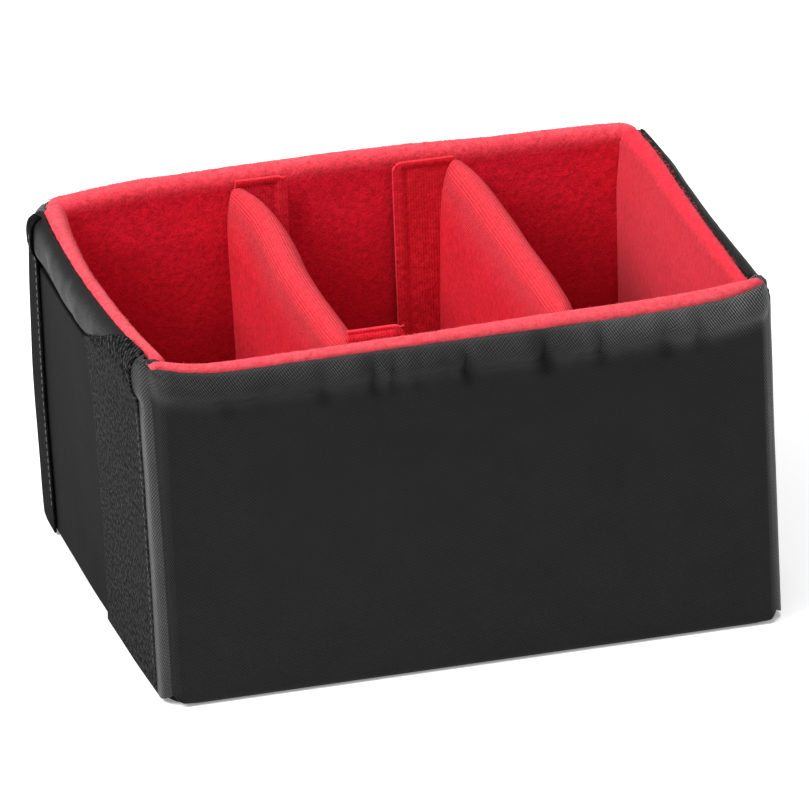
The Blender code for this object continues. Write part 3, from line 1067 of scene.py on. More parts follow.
@dataclass
class Wall:
    """A padded wall: nylon cover and fleece lining, in its own frame.

    The frame has u along the wall, t inwards from its outer face and z up.
    Angles round the rim count outwards from its crest.
    """

    body: str
    name: str
    turn: float
    offset: float
    half: float
    face: float
    full_thickness: float
    foot_radius: float
    corner_radius: float
    roll_height: float
    roll_swell: float
    seam: float
    cap: float
    cap_out: float
    sag: float
    seed: float
    puckers: Triples = ()
    pinch: float = 0.0010
    pinch_height: float = 0.024
    step: float = 0.0012
    edge_dip: float = 0.0016
    cap_radius: float = 0.0024
    droop: Pair = (0.0, 0.0)
    cap_share: Pair = (1.0, 1.0)
    fluff: Knots = ((0.0, 0.0),)
    crown: float = 0.0008
    lifts: Knots = ((0.0, 0.0),)
    seam_swing: Pair = (0.0, 0.0)
    roll_edge: float = 0.8
    corner_ridge: float = 0.0
    corner_lift: float = 0.0
    foot: float = 0.0005
    foot_edge: float = 0.0016

    @property
    def cover_name(self) -> str:
        """Name of its padded cover."""
        return self.name + "_padded_cover"

    @property
    def radius(self) -> float:
        """Radius of the rounded rim."""
        return (self.full_thickness - self.pinch) / 2

    @property
    def rim(self) -> float:
        """Height of the rim's centre."""
        return HEIGHT - self.radius

    def thickness(self, z: Points) -> Points:
        """The wall's thickness at a height, a little less at its rim."""
        return self.full_thickness - self.pinch * smooth_step(
            self.rim - self.pinch_height, self.rim, z)

    def stand(self, u: Points, t: Points, z: Points) -> Points:
        """Turn points of the wall's frame to the wall's side of the box.

        Args:
            u: places along the wall.
            t: distances inwards from its outer face.
            z: heights.

        Returns:
            x, y and z of each point.
        """
        across = t - self.offset
        cos, sin = math.cos(self.turn), math.sin(self.turn)
        return rows(u * cos - across * sin, u * sin + across * cos, z)

    def place(self, local: Points) -> Points:
        """Carry points from the wall's frame to the box as it has settled.

        Args:
            local: u, t and z of each point.

        Returns:
            x, y and z of each point.
        """
        world = lean(self.stand(*local.T))
        fall = self.sag * world[:, 2] / HEIGHT * middle_share(world[:, 0])
        peak = self.corner_lift * hump(self.half, 0.014, np.abs(local[:, 0]))
        at, lift = np.array(self.lifts).T
        peak = peak + np.interp(local[:, 0], at, lift)
        world[:, 2] += peak * world[:, 2] / HEIGHT - fall - self.slump(local[:, 0], local[:, 2])
        return settle(world)

    def end_radius(self, u: Points) -> Points:
        """How far the top corner at a place's end is rounded."""
        return np.maximum(np.where(u < 0, self.droop[0], self.droop[1]), 1e-6)

    def slump(self, u: Points, z: Points) -> Points:
        """How far a place near a rounded top corner has come down.

        Args:
            u: places along the wall.
            z: heights.

        Returns:
            The drop at each point, fading out below the corner.
        """
        radius = self.end_radius(u)
        over = np.clip(np.abs(u) - (self.half - radius), 0.0, radius)
        drop = radius - np.sqrt(radius ** 2 - over ** 2)
        return drop * smooth_step(0.0, 1.0, (z - HEIGHT + 3.0 * radius) / (2.7 * radius))

    def seam_at(self, u: Points) -> Points:
        """The seam's angle on the rim, which may swing towards the wall's ends."""
        return self.seam + np.interp(u, (-self.half, 0.0, self.half),
                                     (self.seam_swing[0], 0.0, self.seam_swing[1]))

    def inside_seam(self, u: Points, angle: Points) -> Points:
        """How far a place on the rim lies within the fleece's edge.

        Args:
            u: places along the wall.
            angle: angles outwards from the crest.

        Returns:
            The distance to the seam, positive on the fleece.
        """
        flat = rows(u, 0.0, 0.0)
        jog = 0.0004 * ripple(flat, 0.0045, self.seed + 17.0)
        outer = self.radius * (self.seam_at(u) - angle) + jog
        return np.minimum(outer, self.half - self.cap_at(u, angle) - np.abs(u))

    def cap_at(self, u: Points, angle: Points) -> Points:
        """How much nylon shows at the wall's end.

        Args:
            u: places along the wall, whose sign picks the end.
            angle: angles round the rim.

        Returns:
            The width of nylon between the fleece and the end.
        """
        full = self.cap_out + (self.cap - self.cap_out) * smooth_step(0.25, -0.35, angle)
        return full * np.where(u < 0, self.cap_share[0], self.cap_share[1])

    def swell(self, u: Points, rise: Points, local: Points) -> Points:
        """How far the nylon stands out of the wall's outer plane.

        Args:
            u: places along the wall.
            rise: arc length up from the roll's lower edge.
            local: the points themselves, for the noise.

        Returns:
            The distance outwards at each point.
        """
        length = self.roll_height + self.radius * (math.pi / 2 - self.seam)
        up = np.clip(rise / length, 0.0, 1.0)
        bulge = np.sin(up ** 0.85 * math.pi) ** self.roll_edge
        waves = ripple(local * (1.0, 0.2, 1.0), 0.017, self.seed)
        fine = ripple(local * (1.0, 0.3, 0.9), 0.0065, self.seed + 7.0)
        out = self.roll_swell * bulge * (1.0 + 0.38 * waves + 0.18 * fine)
        reach = np.clip((rise + 0.005) / (length + 0.005), 0.0, 1.0)
        valley = np.sin(reach * math.pi) ** 1.3
        for at, width, depth in self.puckers:
            out -= 1.2 * valley * depth * hump(at, width * (0.55 + 0.5 * reach), u)
            out += 0.3 * valley * depth * (hump(at - 2.2 * width, width, u)
                                           + hump(at + 2.2 * width, width, u))
        out += 0.00025 * ripple(local * (1.0, 0.2, 1.0), 0.050, self.seed + 3.0)
        ridge = self.corner_ridge * hump(self.half - 0.6 * self.corner_radius, 0.0016, np.abs(u))
        return out + ridge - self.face * (1.0 - smooth_step(0.0, 0.3, up))

    def rounded(self, p: Points) -> tuple[Points, Points, Points]:
        """The plain block with its corners rounded.

        Args:
            p: points of the plain block.

        Returns:
            u, t and z of each point.
        """
        u, t, z = p.T.copy()
        hand, along = np.sign(u), np.abs(u)
        along, down = round_off(along, -z, (self.half, -self.foot), self.foot_radius)
        z = -down
        along, out = round_off(along, -t, (self.half, 0.0), self.corner_radius)
        t = -out
        along, z = round_off(along, z, (self.half, HEIGHT), self.cap_radius)
        down, out = round_off(-z, -t, (-self.foot, 0.0), self.foot_edge)
        return hand * along, -out, -down

    def cover_shape(self, p: Points) -> Points:
        """The cover's form: a soft roll below the seam, tucked in above it.

        Args:
            p: points of the plain block, in the wall's frame.

        Returns:
            The moulded points, still in the wall's frame.
        """
        u, t, z = self.rounded(p)
        radius, rim = self.radius, self.rim
        above = z > rim
        angle = np.where(above, np.arctan2(radius - t, np.maximum(z - rim, 1e-6)), math.pi / 2)
        rise = z - rim + self.roll_height
        rise = np.where(above, self.roll_height + radius * (math.pi / 2 - angle), rise)
        out = self.swell(u, rise, p)
        tucked = radius - FLEECE - SLACK
        share = smooth_step(-0.0009, 0.0004, self.inside_seam(u, angle))
        target = (radius + out) * (1.0 - share) + tucked * share
        far = np.hypot(t - radius, z - rim)
        pull = np.where(above & (far > 0.8 * radius), target / radius
                        * np.minimum(radius / np.maximum(far, 1e-9), 1.0), 1.0)
        outer = smooth_step(0.55, 0.15, t / self.full_thickness)
        low_t = np.minimum(t - outer * out, self.thickness(z) - FLEECE - SLACK)
        t = np.where(above, radius + (t - radius) * pull, low_t)
        z = np.where(above, rim + (z - rim) * pull, z)
        return rows(u, t, z)

    def cloth_place(self, p: Points) -> Points:
        """Where each point of the plain block lies on the flat nylon.

        Args:
            p: points of the plain block.

        Returns:
            Two lengths on the nylon, for each point.
        """
        u, t, z = p.T
        radius, rim = self.radius, self.rim
        angle = np.arctan2(radius - t, np.maximum(z - rim, 1e-6))
        up = np.where(z > rim, rim + radius * (math.pi / 2 - angle), z)
        round_corner = smooth_step(self.half - 0.004, self.half, np.abs(u))
        return rows(u + np.sign(u) * t * round_corner, up)

    def build_cover(self, finishes: Finishes) -> None:
        """Model the padded nylon cover, foam and all.

        Args:
            finishes: the materials.
        """
        cover = grid_block(self.cover_name, (-self.half, 0.0, self.foot),
                           (self.half, self.full_thickness - self.pinch, HEIGHT), self.step)
        lay_out(cover, self.cloth_place(coordinates(cover)))
        mould(cover, lambda p: self.place(self.cover_shape(p)))
        smooth(cover)
        # The front and back walls carry the painted roll highlight
        finish = finishes.roll_highlight_nylon if self.body != "frame" else finishes.dull_nylon
        dress(cover, finish, "nylon", self.body, self.name + "_cover", self.name + "_foam")

    def lining_shape(self, p: Points) -> Points:
        """Fold a flat cut of fleece up the inner face and over the rim.

        Args:
            p: points of the flat cut, u from 0 and s from 0.

        Returns:
            Points in the wall's frame.
        """
        u = p[:, 0] - self.half
        s = p[:, 1]
        rise = self.rim - WALL_FOOT
        turned = (math.pi / 2 + self.seam_at(u)) / (math.pi / 2 + self.seam)
        angle = -math.pi / 2 + np.clip((s - rise) / self.radius, 0.0, math.pi) * turned
        cap = self.cap_at(u, angle)
        u = u * (self.half - cap + np.minimum(cap, 0.0008)) / self.half
        edge = smooth_step(0.0015, -0.0002, self.inside_seam(u, angle))
        flat = rows(u, s, 0.0)
        soft = ripple(flat, 0.026, self.seed + 11.0)
        fluff = ripple(flat, 0.0035, self.seed + 12.0)
        radius = self.radius + 0.00025 * soft + 0.00015 * fluff - self.edge_dip * edge
        at, fuller = np.array(self.fluff).T
        radius = radius + np.interp(u, at, fuller) * smooth_step(self.seam, -0.5, angle)
        middle = np.clip(1.0 - (u / self.half) ** 2, 0.0, 1.0)
        crown = np.sin(np.clip(s / rise, 0.0, 1.0) * math.pi) * middle
        height = np.minimum(WALL_FOOT + s, self.rim)
        full = np.interp(u, at, fuller) * smooth_step(self.rim - 0.03, self.rim, height)
        wall = self.thickness(height) + self.crown * crown + 0.0003 * soft * middle + full
        bent = s > rise
        t = np.where(bent, self.radius - radius * np.sin(angle), wall)
        z = np.where(bent, self.rim + radius * np.cos(angle), height)
        corner = np.clip(np.abs(u) - (self.half - self.foot_radius), 0.0, self.foot_radius)
        low = WALL_FOOT + self.foot_radius - np.sqrt(self.foot_radius ** 2 - corner ** 2)
        along, out = round_off(np.abs(u), -t, (self.half, 0.0), self.corner_radius)
        along, z = round_off(along, z, (self.half, HEIGHT), self.cap_radius)
        return rows(np.sign(u) * along, -out, np.maximum(z, low))

    def build_lining(self, finishes: Finishes) -> None:
        """Cut the fleece lining and fold it over the wall.

        Args:
            finishes: the materials.
        """
        height = self.rim - WALL_FOOT + self.radius * (math.pi / 2 + self.seam) + 0.0006
        lining = cloth(self.name + "_fleece_lining", 2 * self.half, height, self.step)
        mould(lining, self.lining_shape)
        thicken(lining, FLEECE, way=1.0)
        mould(lining, self.place)
        face_out(lining)
        smooth(lining, 70.0)
        # The right wall's lining carries painted sheen, for the light from the left on its inner
        # face
        finish = finishes.sheen_lit_lining if self.name == "right_wall" else finishes.lining
        dress(lining, finish, "fleece", self.body, self.name + "_lining")

    def rim_point(self, u: Points, angle: Points, proud: float) -> Points:
        """Places on the fleece of the rim.

        Args:
            u: places along the wall.
            angle: angles outwards from the crest.
            proud: how far they stand out of the fleece.

        Returns:
            x, y and z of each point.
        """
        at, fuller = np.array(self.fluff).T
        radius = self.radius + proud + np.interp(u, at, fuller) * smooth_step(
            self.seam, -0.5, angle)
        t = self.radius - radius * np.sin(angle)
        z = self.rim + radius * np.cos(angle)
        along, z = round_off(np.abs(u), z, (self.half, HEIGHT), self.cap_radius)
        return self.place(rows(np.sign(u) * along, t, z))

    def build_pile(self, finishes: Finishes) -> None:
        """Stand loose fibres along the rim's fleece.

        Args:
            finishes: the materials.
        """
        dice = np.random.default_rng(int(self.seed) + 5)
        count = int(self.half * 2 * 3400)
        reach = self.half - np.maximum(self.cap, 0.002) - 0.001
        u = dice.uniform(-reach, reach, count)
        angle = self.seam_at(u) - dice.uniform(0.08, 2.0, count) ** 1.5 * 0.7
        low, high = (self.rim_point(u, angle, proud) for proud in (0.0, 0.001))
        spin = dice.uniform(-1.0, 1.0, (count, 3))
        pile = spread_copies(self.name + "_rim_pile", Pile().model(int(self.seed)), low,
                             np.cross(high - low, spin), high - low)
        dress(pile, finishes.pile, "fleece", self.body)

    def build(self, finishes: Finishes) -> None:
        """Build the wall's cover, its lining and the fibres on its rim.

        Args:
            finishes: the materials.
        """
        self.build_cover(finishes)
        self.build_lining(finishes)
        self.build_pile(finishes)
        log.info("%s: padded cover and fleece lining", self.name)


# Puckers of the rolls: place along the wall, width and depth
FRONT_PUCKERS = (
    (-0.095, 0.0030, 0.0010), (-0.058, 0.0028, 0.0022), (-0.038, 0.0022, 0.0022),
    (-0.030, 0.0018, 0.0018), (-0.020, 0.0018, 0.0014), (-0.001, 0.0024, 0.0026),
    (0.030, 0.0036, 0.0042), (0.052, 0.0024, 0.0024), (0.078, 0.0036, 0.0026),
    (0.092, 0.0026, 0.0020),
)
BACK_PUCKERS = (
    (-0.080, 0.0030, 0.0010), (-0.031, 0.0034, 0.0016), (0.020, 0.0026, 0.0010),
    (0.071, 0.0035, 0.0012),
)
# How much fuller the fleece lies on a rim: place along the wall, extra radius
FRONT_FLUFF = ((-0.120, 0.0), (-0.050, 0.0004), (0.000, 0.0012), (0.050, 0.0018),
               (0.095, 0.0016), (0.120, 0.0008))
LEFT_FLUFF = ((-0.0746, 0.0026), (-0.050, 0.0010), (-0.020, 0.0), (0.0746, 0.0004))
# How much higher the rims stand than a plain sag: place along the wall, lift
FRONT_LIFTS = ((-0.100, 0.0002), (-0.070, 0.0010), (0.060, 0.0008), (0.100, 0.0012),
               (0.120, 0.0010))
BACK_LIFTS = ((-0.100, 0.0018), (-0.062, 0.0017), (-0.030, 0.0033), (0.000, 0.0034),
              (0.080, 0.0025), (0.110, 0.0004))
RIGHT_LIFTS = ((-0.0746, -0.0010), (0.000, 0.0008), (0.050, 0.0020), (0.0746, 0.0030))
SIDE_PUCKERS = ((-0.046, 0.0070, 0.0006), (0.012, 0.0080, 0.0005))


def make_walls() -> dict[str, Wall]:
    """The four walls, by name.

    Returns:
        The walls with their sizes, not yet built.
    """
    end = dict(offset=DEPTH / 2, half=LENGTH / 2, face=0.0002, full_thickness=0.0116,
               foot_radius=0.010, roll_height=0.0110, roll_swell=0.0032,
               roll_edge=2.0, seam=math.radians(40.0), cap=0.0060, corner_ridge=0.0006)
    side = dict(offset=LENGTH / 2, half=0.0746, face=0.0015, full_thickness=0.0121,
                foot_radius=0.0025, corner_radius=0.0010, roll_height=0.0140,
                cap=0.0, cap_out=0.0, sag=0.0, pinch=0.0016)
    return {
        "front": Wall("front_wall", "front_wall", 0.0, sag=0.003, seed=1.0, cap_out=0.0012,
                      corner_lift=0.0015, puckers=FRONT_PUCKERS, lifts=FRONT_LIFTS,
                      fluff=FRONT_FLUFF, corner_radius=0.0075, cap_share=(1.0, 2.2),
                      droop=(0.0006, 0.0050), **end),
        "back": Wall("back_wall", "back_wall", math.pi, sag=0.0, seed=21.0, cap_out=0.0070,
                     corner_radius=0.0060, puckers=BACK_PUCKERS, lifts=BACK_LIFTS,
                     droop=(0.0075, 0.0120), cap_share=(0.05, 1.0), **end),
        "left": Wall("frame", "left_wall", -math.pi / 2, seed=41.0, roll_swell=0.0022,
                     puckers=SIDE_PUCKERS, fluff=LEFT_FLUFF, seam=math.radians(14.0), **side),
        "right": Wall("frame", "right_wall", math.pi / 2, seed=61.0, roll_swell=0.0009,
                      crown=0.0032, seam=math.radians(9.0), lifts=RIGHT_LIFTS,
                      seam_swing=(math.radians(-26.0), math.radians(17.0)), **side),
    }


@dataclass
class LoopPanel:
    """Smooth loop cloth on the outside of a side wall."""

    wall: Wall
    margin: float = 0.001
    low: float = 0.0012
    high: float = 0.1187
    thickness: float = 0.0012
    step: float = 0.002

    def shape(self, p: Points) -> Points:
        """Set the flat cut against the wall, slack by a hair.

        Args:
            p: points of the flat cut.

        Returns:
            Points in the standing box.
        """
        u = p[:, 0] - (self.wall.half - self.margin)
        z = p[:, 1] + self.low
        local = rows(u, 0.0, z)
        slack = 0.00025 * ripple(local, 0.035, self.wall.seed + 5.0)
        local[:, 1] = -slack + 0.0001
        return self.wall.place(local)

    def build(self, finishes: Finishes) -> None:
        """Cut, place and dress the panel.

        Args:
            finishes: the materials.
        """
        width, height = 2 * (self.wall.half - self.margin), self.high - self.low
        name = self.wall.name + "_loop_cloth"
        panel = cloth(name, width, height, self.step)
        mould(panel, self.shape)
        thicken(panel, self.thickness, 0.0004)
        smooth(panel)
        dress(panel, finishes.loop, "loop_cloth", "frame", self.wall.name + "_loop_panel")
        log.info("%s: loop cloth", self.wall.name)


@dataclass
class Wrap:
    """A corner wrap: nylon strip round the corner, and its hook tape."""

    name: str
    wall: Wall
    side_wall: Wall
    side: Side
    band: float
    tape: float
    thickness: float
    ceiling: Knots
    foot: float = 0.0008
    under: float = 0.0042
    step: float = 0.0013
    start_angle: float = math.radians(58.0)
    strip_lift: float = 0.0013
    strip_thickness: float = 0.0009
    bend: Pair = (0.0050, 0.0120)
    stitch_inset: float = 0.0022
    narrow_inset: float = 0.0016
    stitch_low: float = 0.012
    stitch_short: float = 0.004

    @property
    def wide(self) -> bool:
        """Whether it has the wide, light tape of the front corners."""
        return self.tape > 0.03

    @property
    def hand(self) -> float:
        """Sign of u at which the wrap stands on its wall."""
        return self.side.value * (1.0 if self.wall.turn == 0.0 else -1.0)

    def top_at(self, inwards: Points) -> Points:
        """Length up to the wrap's upper edge, below its wall's rounded corner."""
        at, high = np.array(self.ceiling).T
        return np.interp(inwards, at, high)

    def low_at(self, inwards: Points) -> Points:
        """Height of the wrap's lower edge, rounded at the corner.

        Args:
            inwards: distance from the wall's outer face.

        Returns:
            The height at each place.
        """
        radius = self.wall.foot_radius
        near = np.clip(1.0 - inwards / radius, 0.0, 1.0)
        return self.foot + radius * (1.0 - np.sqrt(1.0 - 0.95 * near ** 2))

    def on_side(self, inwards: Points, up: Points, proud: Points) -> Points:
        """Points on the side face: inwards from the corner, up and proud.

        Args:
            inwards: distance from the wall's outer face.
            up: height.
            proud: distance out of the side face.

        Returns:
            x, y and z of each point.
        """
        rim_radius = 0.0024 + (self.side_wall.radius - 0.0024) * smooth_step(0.008, 0.014, inwards)
        rim = HEIGHT - rim_radius
        angle = np.clip((up - rim) / rim_radius, 0.0, 1.5)
        out = proud + self.roll_at(inwards, up)
        u = self.hand * (self.wall.half + (rim_radius + out) * np.cos(angle) - rim_radius)
        height = np.where(up > rim, rim + (rim_radius + out) * np.sin(angle), up)
        return settle(self.wall.stand(u, inwards, height))

    def roll_at(self, inwards: Points, up: Points) -> Points:
        """How far the side wall's roll stands out under the wrap.

        Args:
            inwards: distance from the wall's outer face.
            up: length up the side.

        Returns:
            The distance outwards, never less than zero.
        """
        y = (inwards - self.wall.offset) * math.cos(self.wall.turn)
        u = y * math.copysign(1.0, self.side_wall.turn)
        rise = up - self.side_wall.rim + self.side_wall.roll_height
        out = self.side_wall.swell(u, rise, rows(u, 0.0, up))
        return 1.1 * np.clip(out, 0.0, None) * smooth_step(0.004, 0.014, inwards)

    def strip_shape(self, p: Points, height: float) -> Points:
        """Lead the flat strip round the corner and along the side.

        Args:
            p: points of the flat cut.
            height: its height.

        Returns:
            Points of the strip in the standing box.
        """
        radius = self.wall.corner_radius
        arc = radius * self.start_angle
        angle = np.clip((arc - p[:, 0]) / radius, 0.0, None)
        lift = self.strip_lift * smooth_step(0.0, arc, p[:, 0]) - 0.0003
        flat = rows(p[:, 0], p[:, 1], 0.0)
        rise = p[:, 1] / height
        waves = ripple(flat * (1.0, 0.35, 1.0), 0.010, self.wall.seed + self.side.value)
        lift = lift + 0.0003 * waves * smooth_step(0.3, 0.9, rise) * smooth_step(0.0, arc, p[:, 0])
        lift = lift - 0.0001 * hump(self.wall.corner_radius + self.band, 0.0015, p[:, 0])
        across = radius - (radius + lift) * np.sin(angle) + np.maximum(p[:, 0] - arc, 0.0)
        proud = (radius + lift) * np.cos(angle) - radius
        low = self.low_at(across)
        up = low + rise * (self.top_at(across) - low)
        return self.on_side(across, up, proud)

    def build_strip(self, finishes: Finishes) -> None:
        """The nylon strip, from the corner's start to the tape.

        Args:
            finishes: the materials.
        """
        arc = self.wall.corner_radius * self.start_angle
        width = arc + self.band + self.under
        height = self.ceiling[0][1] - self.foot
        strip = cloth(self.name + "_nylon_strip", width, height, self.step)
        mould(strip, lambda p: self.strip_shape(p, height))
        thicken(strip, self.strip_thickness, 0.0003, way=-self.hand)
        face_out(strip)
        smooth(strip)
        # The strip's nylon is painted lighter, a painted highlight for the lit corner
        dress(strip, finishes.lit_strip_nylon, "nylon", "", self.name + "_strip")
        near, far = (self.on_side(np.array([at]), np.array([HEIGHT / 2]), self.strip_thickness)[0]
                     for at in self.bend)
        tuple(near)
        tuple(far)
        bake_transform(strip)

    def build_tape(self, finishes: Finishes) -> None:
        """The hook tape, sewn to the strip and laid on the loop cloth.

        Args:
            finishes: the materials.
        """
        start = self.wall.corner_radius + self.band
        height = self.ceiling[1][1] - self.foot
        tape = cloth(self.name + "_tape", self.tape, height, self.step)

        def shape(p: Points) -> Points:
            """Lay the flat tape along the side.

            Args:
                p: points of the flat cut.

            Returns:
                Points in the standing box.
            """
            across = p[:, 0] + start
            low = self.low_at(across)
            up = low + p[:, 1] / height * (self.top_at(across) - low)
            flat = rows(across, up, 0.0)
            proud = np.full(len(up), self.thickness + 0.0003)
            proud += 0.0003 * ripple(flat, 0.028, self.wall.seed + 13.0)
            proud += 0.0004 * smooth_step(0.112, 0.124, up) * self.wide
            return self.on_side(across, up, proud)

        mould(tape, shape)
        thicken(tape, self.thickness, 0.0005, way=-self.hand)
        face_out(tape)
        smooth(tape)
        finish = finishes.tape if self.wide else finishes.dark_tape
        dress(tape, finish, "hook_tape", self.name, self.name + "_hook_tape")

    def sew_tape(self, finishes: Finishes) -> None:
        """Stitch the tape down along the edge that shows.

        Args:
            finishes: the materials.
        """
        start = self.wall.corner_radius + self.band
        inset = self.stitch_inset if self.wide else self.tape - self.narrow_inset
        low = self.stitch_low
        high = float(self.top_at(np.array([start + inset]))[0]) - self.stitch_short

        def path(along: Points) -> Points:
            """Places of the stitches on the tape.

            Args:
                along: distances along the row.

            Returns:
                Points in the standing box.
            """
            across = np.full(len(along), start + inset)
            return self.on_side(across, low + along,
                                np.full(len(along), self.thickness + 0.0004))

        row = Stitching().sew(self.name + "_stitches", path, high - low,
                              (float(self.side.value), 0.0, 0.0))
        thread = finishes.black_thread if self.wide else finishes.grey_thread
        dress(row, thread, "hook_tape", self.name)

    def build(self, finishes: Finishes) -> None:
        """Build the strip and the tape, and sew them.

        Args:
            finishes: the materials.
        """
        self.build_strip(finishes)
        self.build_tape(finishes)
        self.sew_tape(finishes)
        log.info("%s: nylon strip, hook tape and stitches", self.name)


# Upper edge of the wraps: distance from the corner, length up the side
LEFT_CEILING = ((0.0, 0.1380), (0.007, 0.1398), (0.013, 0.1414), (0.028, 0.1412),
                (0.046, 0.1350), (0.077, 0.1225))
RIGHT_CEILING = ((0.0, 0.1310), (0.008, 0.1325), (0.020, 0.1320), (0.046, 0.1280),
                 (0.077, 0.1190))
BACK_CEILING = ((0.0, 0.1262), (0.009, 0.1275), (0.0135, 0.1385), (0.0205, 0.1402))


def make_wraps(walls: dict[str, Wall]) -> list[Wrap]:
    """The four corner wraps.

    Args:
        walls: the walls, by name.

    Returns:
        The wraps with their sizes, not yet built.
    """
    front = dict(band=0.0045, tape=0.064, thickness=0.0010)
    back = dict(band=-0.002, tape=0.0165, thickness=0.0010, under=0.006, ceiling=BACK_CEILING)
    left, right = walls["left"], walls["right"]
    return [
        Wrap("front_left_wrap", walls["front"], left, Side.LEFT, ceiling=LEFT_CEILING, **front),
        Wrap("front_right_wrap", walls["front"], right, Side.RIGHT, ceiling=RIGHT_CEILING,
             **front),
        Wrap("back_left_wrap", walls["back"], left, Side.LEFT, **back),
        Wrap("back_right_wrap", walls["back"], right, Side.RIGHT, **back),
    ]


@dataclass
class Base:
    """The padded floor: nylon skin below, fleece pad on top."""

    pad_corner: float = 0.003
    skin_corner: float = 0.010
    inset: float = 0.0020
    skin: float = 0.0010
    voxel: float = 0.0020

    def build_pad(self, finishes: Finishes) -> None:
        """The fleece pad over its foam.

        Args:
            finishes: the materials.
        """
        half = (INNER_LENGTH - GAP, INNER_DEPTH - GAP)
        pad = block("base_fleece_pad", (-half[0], -half[1], self.skin + GAP),
                    (half[0], half[1], BASE_TOP))
        round_edges(pad, self.pad_corner, 3, lambda m, d: abs(d.z) > 0.9)
        round_edges(pad, 0.0012, 2, lambda m, d: m.z > BASE_TOP - 0.0005)
        remesh(pad, self.voxel, 2)

        def shape(p: Points) -> Points:
            """Soften the pad's top and set it between the walls.

            Args:
                p: points of the block.

            Returns:
                Points in the standing box.
            """
            out = p.copy()
            high = smooth_step(0.003, BASE_TOP, p[:, 2])
            out[:, 2] += high * 0.0002 * (ripple(p, 0.03, 91.0) - 1.0)
            return settle(lean(out))

        mould(pad, shape)
        smooth(pad)
        dress(pad, finishes.fleece, "fleece", "frame", "base_lining", "base_foam")

    def build_skin(self, finishes: Finishes) -> None:
        """The nylon skin that the insert stands on.

        Args:
            finishes: the materials.
        """
        skin = cloth("base_nylon_skin", LENGTH, DEPTH, 0.003)

        def shape(p: Points) -> Points:
            """Round the skin's corners and set it under the pad.

            Args:
                p: points of the flat cut.

            Returns:
                Points in the standing box.
            """
            out = rows(p[:, 0] - LENGTH / 2, p[:, 1] - DEPTH / 2, self.skin)
            out[:, :2] *= 1.0 - 2 * self.inset / LENGTH
            inner = np.array([LENGTH / 2, DEPTH / 2]) - self.inset - self.skin_corner
            over = np.clip(np.abs(out[:, :2]) - inner, 0.0, None)
            far = np.hypot(over[:, 0], over[:, 1])
            pull = np.where(far > self.skin_corner, self.skin_corner / np.maximum(far, 1e-9), 1.0)
            place = np.minimum(np.abs(out[:, :2]), inner) + over * pull[:, None]
            out[:, :2] = np.sign(out[:, :2]) * place
            return settle(out)

        mould(skin, shape)
        thicken(skin, self.skin)
        smooth(skin)
        dress(skin, finishes.nylon, "nylon", "frame", "base_skin")

    def build(self, finishes: Finishes) -> None:
        """Build the pad and the skin.

        Args:
            finishes: the materials.
        """
        self.build_pad(finishes)
        self.build_skin(finishes)
        log.info("base: fleece pad and nylon skin")


@dataclass
class Flap:
    """A fleece flap of a divider with its hook patch."""

    end: End
    width: float
    top: float
    tuck: float = 0.0025
    bottom: float = 0.0111
    thickness: float = 0.0019
    patch: float = 0.0010


